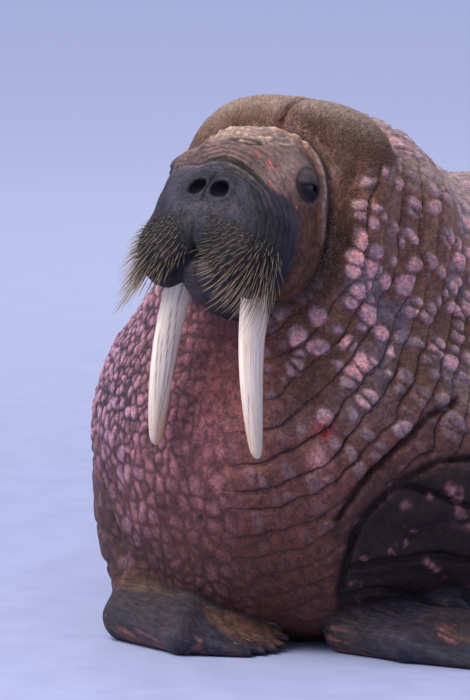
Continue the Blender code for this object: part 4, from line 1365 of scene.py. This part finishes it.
def faceColour(points, region):
    look = faceLook
    up = region["local"][:, 2]
    reach, wander = region["reach"], region["wander"]
    patch = 0.5 + 0.5 * roughNoise(points, 0.05, 19)
    fine = 0.5 + 0.5 * roughNoise(points, 0.014, 20)
    edge = mix(0.240, 0.1985, ramp(up, -0.085, -0.045)) + wander
    colour = blend(look["slate"], look["slateLight"],
                   0.7 * ramp(patch, 0.30, 0.75) * ramp(up, -0.34, -0.05))
    brow = blend(look["brow"], look["browDark"], ramp(patch, 0.35, 0.85))
    toCheek = 1 - ramp(up + wander, -0.085, -0.045)
    brow = blend(brow, look["cheek"] * (0.6 + 0.7 * fine)[:, None], toCheek)
    blur = 0.016 * toCheek
    colour = blend(colour, brow, ramp(reach, edge - 0.003 - blur, edge + 0.007 + blur))
    crest = region["crest"] * (0.35 + 0.65 * ramp(region["knob"], 0.15, 0.7))
    colour = blend(colour, look["rim"], 0.80 * crest)
    rim = region["rim"] * ramp(up, -0.20, -0.02)
    colour = blend(colour, look["rim"], 0.85 * rim)
    orange = region["groove"] * (0.2 + 0.8 * ramp(noise(points, 0.05, 27), -0.3, 0.5))
    colour = blend(colour, look["orange"], 0.65 * orange * ramp(up, -0.16, -0.06))
    # painted shade in the crease behind the face's rim, under the hood
    shadeBehindRim = 1 - ramp(region["behindRim"], -0.042, -0.020)
    colour = blend(colour, look["creaseShade"], 0.70 * shadeBehindRim)
    colour = blend(colour, look["nose"], 0.90 * (1 - ramp(region["nose"], 0.026, 0.060)))
    colour = blend(colour, look["slateLight"], 0.22 * region["brim"])
    onPad = region["pad"] * (1 - ramp(up, -0.150, -0.125))
    padColour = blend(look["padDark"], look["padPink"], 0.6 * ramp(fine, 0.55, 0.85))
    colour = blend(colour, padColour, onPad)
    isChin = 1 - ramp(jawField(points), 0.003, 0.008)
    colour = blend(colour, look["chin"], isChin)
    lids = 1 - ramp(region["eye"], 0.036, 0.048)
    upper = ramp(up - eye["place"][2], 0.000, 0.008)
    colour = blend(colour, blend(look["lidDark"], look["lid"] * (0.6 + 0.6 * fine)[:, None], upper),
                   lids)
    # painted shade in the fold round the lids
    colour = blend(colour, look["creaseShade"], 0.7 * region["lidFold"] * (fine > 0.2))
    # painted shade in the wrinkles, the cheek lines, the slot on the snout and the middle grooves
    # of nose and lip
    for value, share in ((region["dark"], 1.0), (region["slot"], 0.85), (region["centre"], 0.85)):
        colour = blend(colour, look["creaseShade"], np.clip(share * value, 0, 1))
    colour = blend(colour, look["root"], 0.85 * region["pit"])
    colour = blend(colour, look["rim"], 0.26 * region["pale"] * fine)
    scar = 1 - ramp(nearestScar(region["local"]), 0.6, 1.4)
    colour = blend(colour, look["scar"], 0.9 * scar)
    # painted shade along the line of the mouth
    creaseShade = bell(lipField(points) - jawField(points), 0.004)
    creaseShade = creaseShade * (1 - ramp(up, -0.2, -0.15))
    colour = blend(colour, look["creaseShade"], 0.9 * creaseShade)
    return colour * (0.78 + 0.44 * patch)[:, None] * (0.85 + 0.3 * fine)[:, None]


def faceMaterial():
    tree = Tree("walrusFace", Roughness=0.5, Specular_IOR_Level=0.28)
    place, flow = tree.place(), tree.attribute("flow", "Vector")
    tint, wet = tree.attribute("tint", "Color"), tree.attribute("wet")
    grain = tree.noise(place, 330, 4, 0.65)
    streak = tree.noise(flow, 420, 4, 0.62)
    blotch = tree.noise(place, 75, 5, 0.65)
    ridge = tree.noise(flow, 120, 5, 0.6)
    crease = tree.step(tree.fromHalf(ridge), 0.0, 0.03, 1.0, 0.0)
    colour = tree.mottled(blotch, 0.35, 0.68, tint, (0.70, 0.70, 0.74), (1.28, 1.24, 1.20))
    colour = tree.pitted(colour, grain, 0.30, 0.66, 0.64, 1.30)
    pale = tree.step(streak, 0.54, 0.74, 0.0, 0.30)
    colour = tree.mix(pale, colour, tree.scaled(tint, 1.9, 1.85, 1.8))
    # painted shade in the fine creases
    colour = tree.mix(tree.times(crease, 0.16), colour, faceLook["creaseShade"])
    height = tree.plus(tree.times(grain, 0.9), tree.times(streak, 0.5))
    height = tree.less(height, tree.times(crease, 0.5))
    rough = tree.step(grain, 0.3, 0.7, 0.40, 0.66)
    rough = tree.times(rough, tree.step(wet, 0.0, 1.0, 1.0, 0.35))
    return tree.finish(Base_Color=colour, Normal=tree.bump(height, 0.0013), Roughness=rough)


faceNet = {"below": 0.41, "above": 0.27, "step": 0.0050, "reach": 0.025, "back": -0.125}
browLine = 0.045  # the face's two pieces meet this far before the eyes


def makeFace():
    back = inHead(0, faceNet["back"], 0)

    def field(points):
        return np.maximum(faceDistance(points), (back - points) @ headAxes[:, 1])

    points, quads = netOf(field, eyesMid - faceNet["below"], eyesMid + faceNet["above"],
                          (faceNet["step"],) * 3, faceNet["reach"])
    points, quads = quartered(settled(field, points, 1), quads)
    points = settled(field, points, 2)
    normals = normalsOf(points, quads)
    region = faceRegions(points)
    height = faceRelief(points, region)
    colour = faceColour(points, region)
    around = region["local"] - muzzleMid
    reach = lengthOf(around)
    rings = np.stack([reach, 0.22 * around[:, 0], 0.22 * around[:, 2]], -1)
    flow = blend(0.8 * around, rings, ramp(reach, 0.10, 0.15))
    wet = np.maximum(1 - ramp(region["nose"], 0.014, 0.024), 1 - ramp(region["eye"], 0.025, 0.029))
    points = points + normals * height[:, None]
    normals = normalsOf(points, quads)
    material = faceMaterial()
    way = headAxes[:, 1]
    inFront = headPlace(points[quads].mean(1))[:, 1] > browLine
    for name, kept, side, nodes in (("skinFace", quads[inFront], -1, ("muzzle", "lower_jaw")),
                                    ("skinBrow", quads[~inFront], 1, ("head",))):
        used, faces, places = pieceOf(kept, points, normals)
        made = meshOf(name, places, faces, material)
        closeEnds(made, [(side * way, side * (eyesMid @ way + browLine))])
        addColour(made, "tint", colour[used])
        addVector(made, "flow", flow[used])
        addNumber(made, "wet", wet[used])
        setNormals(made, normals[used])
        finish(made, "face", *nodes)
        print("face:", name, len(kept), "faces")


makeFace()


def makeEyes():  # a globe with its poles up and down
    tree = Tree("wetEye", Roughness=0.12, Specular_IOR_Level=0.5, Coat_Weight=0.25)
    streak = tree.noise(tree.place(), 120, 3)
    colour = tree.mix(tree.step(streak, 0.4, 0.7), shade(14, 13, 20), shade(36, 32, 44))
    material = tree.finish(Base_Color=colour)
    shape, faces = globe(eye["rows"], eye["columns"])
    for word, side in (("left", 1), ("right", -1)):
        points = inHead(*onSide(eye["place"], side)) + eye["radius"] * shape[:, [1, 2, 0]]
        made = meshOf("eye" + word.title(), points, faces, material)
        finish(made, "eye", "eye_" + word)


makeEyes()


def whiskerMaterial():
    tree = Tree("whiskerHorn", Roughness=0.45, Specular_IOR_Level=0.4)
    along = tree.attribute("along")
    grain = tree.noise(tree.place(), 300, 2)
    colour = tree.mix(tree.step(along, 0.10, 0.80), shade(18, 14, 15), shade(170, 146, 118))
    colour = tree.mix(tree.step(grain, 0.35, 0.75, 0.0, 0.5), colour, shade(96, 74, 54))
    return tree.finish(Base_Color=colour)


def makeWhiskers():
    # place = root + length (first s + bend s^2), s from 0 at the skin to 1 at the tip:
    # all sweep to the animal's right, those by its left cheek least
    draw = np.random.default_rng(22)
    count = len(rootPlace)
    right, up = viewRight, np.array((0, 0, 1.0))
    outward = unit(slopeOf(lipField, rootPlace))
    isLeft = (rootSide > 0)[:, None]
    out = rootOut[:, None]
    size = np.clip(0.31 * rootDrop**1.2 + 0.70 * rootOut**2 * (0.2 + 0.8 * rootDrop), 0, 1)
    length = mix(whiskers["shortest"], whiskers["longest"], size**1.15)
    length = length * draw.uniform(0.70, 1.15, count) * np.where(rootSide > 0, 1.0, 0.86)
    drop = (0.30 + 0.55 * rootDrop)[:, None]
    sweepLeft = mix(-0.50, -0.02, out) * right
    sweepRight = mix(-0.10, -0.30, out) * right
    first = 0.46 * outward - drop * up + np.where(isLeft, sweepLeft, sweepRight)
    first = unit(first + draw.normal(0, 0.07, (count, 3)))
    bendLeft = mix(-0.80, -0.30, out) * right + mix(0.30, -0.30, out) * up
    bendRight = mix(-0.10, -0.24, out) * right - 0.30 * up
    bend = np.where(isLeft, bendLeft, bendRight) * draw.uniform(0.6, 1.3, (count, 1))
    s = np.linspace(0, 1, whiskers["rings"])[None, :, None]
    line = rootPlace[:, None] + length[:, None, None] * (
        first[:, None] * s + bend[:, None] * s**2)
    line = pushedOut(line)
    line = line - 0.003 * outward[:, None] * (1 - np.minimum(s * 8, 1))
    thick = whiskers["radius"] * (0.50 + 0.60 * size)
    radii = thick[:, None] * (1 - 0.80 * s[0, :, 0] ** 1.3)[None]
    points, faces = tubesOf(line, radii, whiskers["sides"])
    made = meshOf("whiskers", points, faces, whiskerMaterial())
    one = np.append(np.repeat(np.linspace(0, 1, whiskers["rings"])[:-1], whiskers["sides"]),
                    (0, 1))
    addNumber(made, "along", np.tile(one, count))
    finish(made, "face")
    print("whiskers:", count)


def pushedOut(lines):  # no point of a whisker after its root lies under the lip or the jaw
    shape = lines.shape
    flat = lines.reshape(-1, 3)
    for _ in range(3):
        value = np.minimum(lipField(flat), jawField(flat)) - 0.0012
        slope = np.where((lipField(flat) < jawField(flat))[:, None], slopeOf(lipField, flat),
                         slopeOf(jawField, flat))
        flat = flat + np.maximum(-value, 0)[:, None] * unit(slope)
    moved = flat.reshape(shape)
    moved[:, 0] = lines[:, 0]
    return moved


makeWhiskers()


tusks = {
    "length": 0.44, "radius": 0.033, "root": (0.096, 0.014, -0.227), "splay": 5.5, "rake": 13,
    "bend": 0.030, "rings": 90, "sides": 56, "cracks": 9, "crackDepth": 0.0006,
    "blunt": 0.035,
}


def tuskMaterial():
    tree = Tree("tuskIvory", Roughness=0.38, Specular_IOR_Level=0.5)
    streaks = tree.noise(tree.place((9, 0.9, 1), "UV"), 3.2, 5, 0.65)
    fine = tree.noise(tree.place((30, 2.2, 1), "UV"), 3.0, 4, 0.65)
    crack, stain = tree.attribute("crack"), tree.attribute("stain")
    colour = tree.mix(tree.step(streaks, 0.32, 0.68), shade(212, 188, 166), shade(240, 222, 206))
    colour = tree.mix(tree.step(fine, 0.60, 0.75, 0.0, 0.5), colour, shade(142, 128, 122))
    colour = tree.mix(stain, colour, shade(190, 138, 84))
    colour = tree.mix(crack, colour, shade(112, 100, 102))
    height = tree.less(tree.times(fine, 0.5), crack)
    return tree.finish(Base_Color=colour, Normal=tree.bump(height, 0.0006))


def makeTusks():
    # a tube round a gentle arc: radius = r sqrt(1 - 0.45 s - 0.45 s^4), s from root to tip,
    # less a narrow groove at each crack's angle, which wanders as it runs along
    material = tuskMaterial()
    draw = np.random.default_rng(5)
    rings, sides = tusks["rings"], tusks["sides"]
    for word, side in (("left", 1), ("right", -1)):
        share = 1 - (1 - np.linspace(0, 1, rings)) ** 1.5
        splay, rake = math.radians(tusks["splay"]), math.radians(tusks["rake"])
        along = np.array([side * math.sin(splay), -math.sin(rake), -math.cos(rake)])
        line = onSide(tusks["root"], side) + share[:, None] * tusks["length"] * along
        line[:, 1] += tusks["bend"] * np.sin(math.pi * share)
        blunt = np.clip((1 - share) / tusks["blunt"], 0, 1)
        tip = np.sqrt(blunt * (2 - blunt))
        radius = tusks["radius"] * np.sqrt(1 - 0.45 * share - 0.45 * share**4) * tip
        turn = np.arange(sides) * 2 * math.pi / sides
        crack = np.zeros((rings, sides))
        for _ in range(tusks["cracks"]):
            start, end = np.sort(draw.uniform(-0.1, 1.0, 2))
            path = draw.uniform(0, 2 * math.pi) + 0.25 * np.sin(share * draw.uniform(3, 9))
            gap = np.abs((turn[None] - path[:, None] + math.pi) % (2 * math.pi) - math.pi)
            ends = ramp(share, start, start + 0.08) * (1 - ramp(share, end - 0.05, end + 0.12))
            crack = np.maximum(crack, 0.8 * bell(gap, 0.055) * ends[:, None])
        wide = radius[:, None] - tusks["crackDepth"] * crack * tip[:, None]
        wide = wide * (1 + 0.02 * np.sin(3 * turn + 1.0)[None] + 0.012 * np.sin(
            9 * share[:, None] + 2 * turn[None]))
        circle = np.cos(turn)[:, None] * (1, 0, 0) + 1.12 * np.sin(turn)[:, None] * (0, 1, 0)
        local = line[:, None] + wide[..., None] * circle
        grid = eyesMid + local.reshape(-1, 3) @ headAxes.T
        ends = eyesMid + np.array([line[0], line[-1]]) @ headAxes.T
        points = np.vstack([grid, ends])
        faces = closedGrid(rings, sides)
        made = meshOf("tusk" + word.title(), points, faces, material)
        uv = np.vstack([
            np.stack(np.broadcast_arrays(turn[None] / 2 / math.pi, share[:, None]), -1)
            .reshape(-1, 2), (0.5, 0), (0.5, 1),
        ])
        layer = made.data.uv_layers.new(name="along")
        corner = uv[faces]
        wraps = (corner[..., 0].max(1) - corner[..., 0].min(1)) > 0.5
        corner[wraps, :, 0] = np.where(corner[wraps, :, 0] < 0.5, corner[wraps, :, 0] + 1,
                                       corner[wraps, :, 0])
        layer.data.foreach_set("uv", corner.astype(np.float32).ravel())
        stain = ramp(share, 0.62, 0.98)[:, None] * (0.35 + 0.65 * ramp(
            -side * np.cos(turn), 0.0, 0.9))[None]
        addNumber(made, "crack", np.append(crack.ravel(), (0, 0)))
        addNumber(made, "stain", np.append(0.75 * stain.ravel(), (0, 0.4)))
        finish(made, "ivory", "tusk_" + word)


makeTusks()


# Floor, light and camera
floor = {
    "halfWidth": 60, "near": (shade(158, 163, 194), shade(166, 171, 202)),
    # the paler far tone is painted light, brightening the floor where the lamps' light falls off
    "far": shade(226, 230, 248), "fade": (1.2, 7.5),
}


def makeFloor():  # two close tones that give way to a paler one further off, painted light where the lamps' light falls off
    size = floor["halfWidth"]
    corners = np.array([(-size, -size, 0), (size, -size, 0), (size, size, 0), (-size, size, 0)])
    tree = Tree("paleFloor", Roughness=0.6)
    place = tree.place()
    grain = tree.noise(place, 8, 3)
    away = tree.add("VectorMath", "Value", {0: place}, operation="LENGTH")
    near = tree.mix(tree.step(grain, 0.3, 0.7), *floor["near"])
    colour = tree.mix(tree.step(away, *floor["fade"]), near, floor["far"])
    made = meshOf("floor", corners, [(0, 1, 2, 3)], tree.finish(Base_Color=colour))


def makeLight(name, place, target, size, power, colour):
    lamp = bpy.data.lights.new(name, "AREA")
    lamp.shape = "RECTANGLE"
    lamp.size, lamp.size_y = size
    lamp.energy, lamp.color = power, colour
    made = bpy.data.objects.new(name, lamp)
    made.location = place
    made.rotation_euler = (Vector(target) - Vector(place)).to_track_quat("-Z", "Y").to_euler()
    bpy.context.collection.objects.link(made)


studio = {
    "sky": (0.62, 0.69, 1.00), "strength": 0.72,
    "lamps": (  # name, place, what it points at, size, power and colour
        ("highSoft", (-1.6, -2.6, 4.6), (0, 0.3, 0.5), (3.5, 3), 330, (1.0, 0.96, 0.92)),
        ("leftSoft", (-5.0, -3.0, 2.2), (0, 0, 0.6), (3, 3), 60, (0.85, 0.90, 1.0)),
        ("backSoft", (2.0, 5.0, 4.0), (0, 0.8, 0.6), (4, 3), 110, (1.0, 0.97, 0.94)),
    ),
}
camera = {  # degrees, metres, metres to a pixel at the eyes, and pixels
    "azimuth": 31, "elevation": 9, "distance": 25, "pixel": 0.00235, "height": 700,
    "across": -0.082, "up": 0.677, "sensor": 36, "farthest": 120,
}


def makeStudio():
    world = bpy.data.worlds.new("softSky")
    world.use_nodes = True
    sky = world.node_tree.nodes["Background"]
    sky.inputs["Color"].default_value = (*studio["sky"], 1)
    sky.inputs["Strength"].default_value = studio["strength"]
    bpy.context.scene.world = world
    bpy.context.scene.view_settings.view_transform = "Standard"
    for lamp in studio["lamps"]:
        makeLight(*lamp)


def makeCamera():
    azimuth, rise = math.radians(camera["azimuth"]), math.radians(camera["elevation"])
    back = Vector((math.sin(azimuth) * math.cos(rise), -math.cos(azimuth) * math.cos(rise),
                   math.sin(rise)))
    right = Vector((math.cos(azimuth), math.sin(azimuth), 0))
    target = right * camera["across"] + back.cross(right) * camera["up"]
    lens = bpy.data.cameras.new("photoView")
    lens.sensor_width = camera["sensor"]
    lens.sensor_fit = "AUTO"
    lens.lens = camera["sensor"] * camera["distance"] / (camera["height"] * camera["pixel"])
    lens.clip_end = camera["farthest"]
    made = bpy.data.objects.new("photoView", lens)
    made.location = target + back * camera["distance"]
    made.rotation_euler = (-back).to_track_quat("-Z", "Y").to_euler()
    bpy.context.collection.objects.link(made)
    bpy.context.scene.camera = made


makeFloor()
makeStudio()
makeCamera()
print("stage ready")
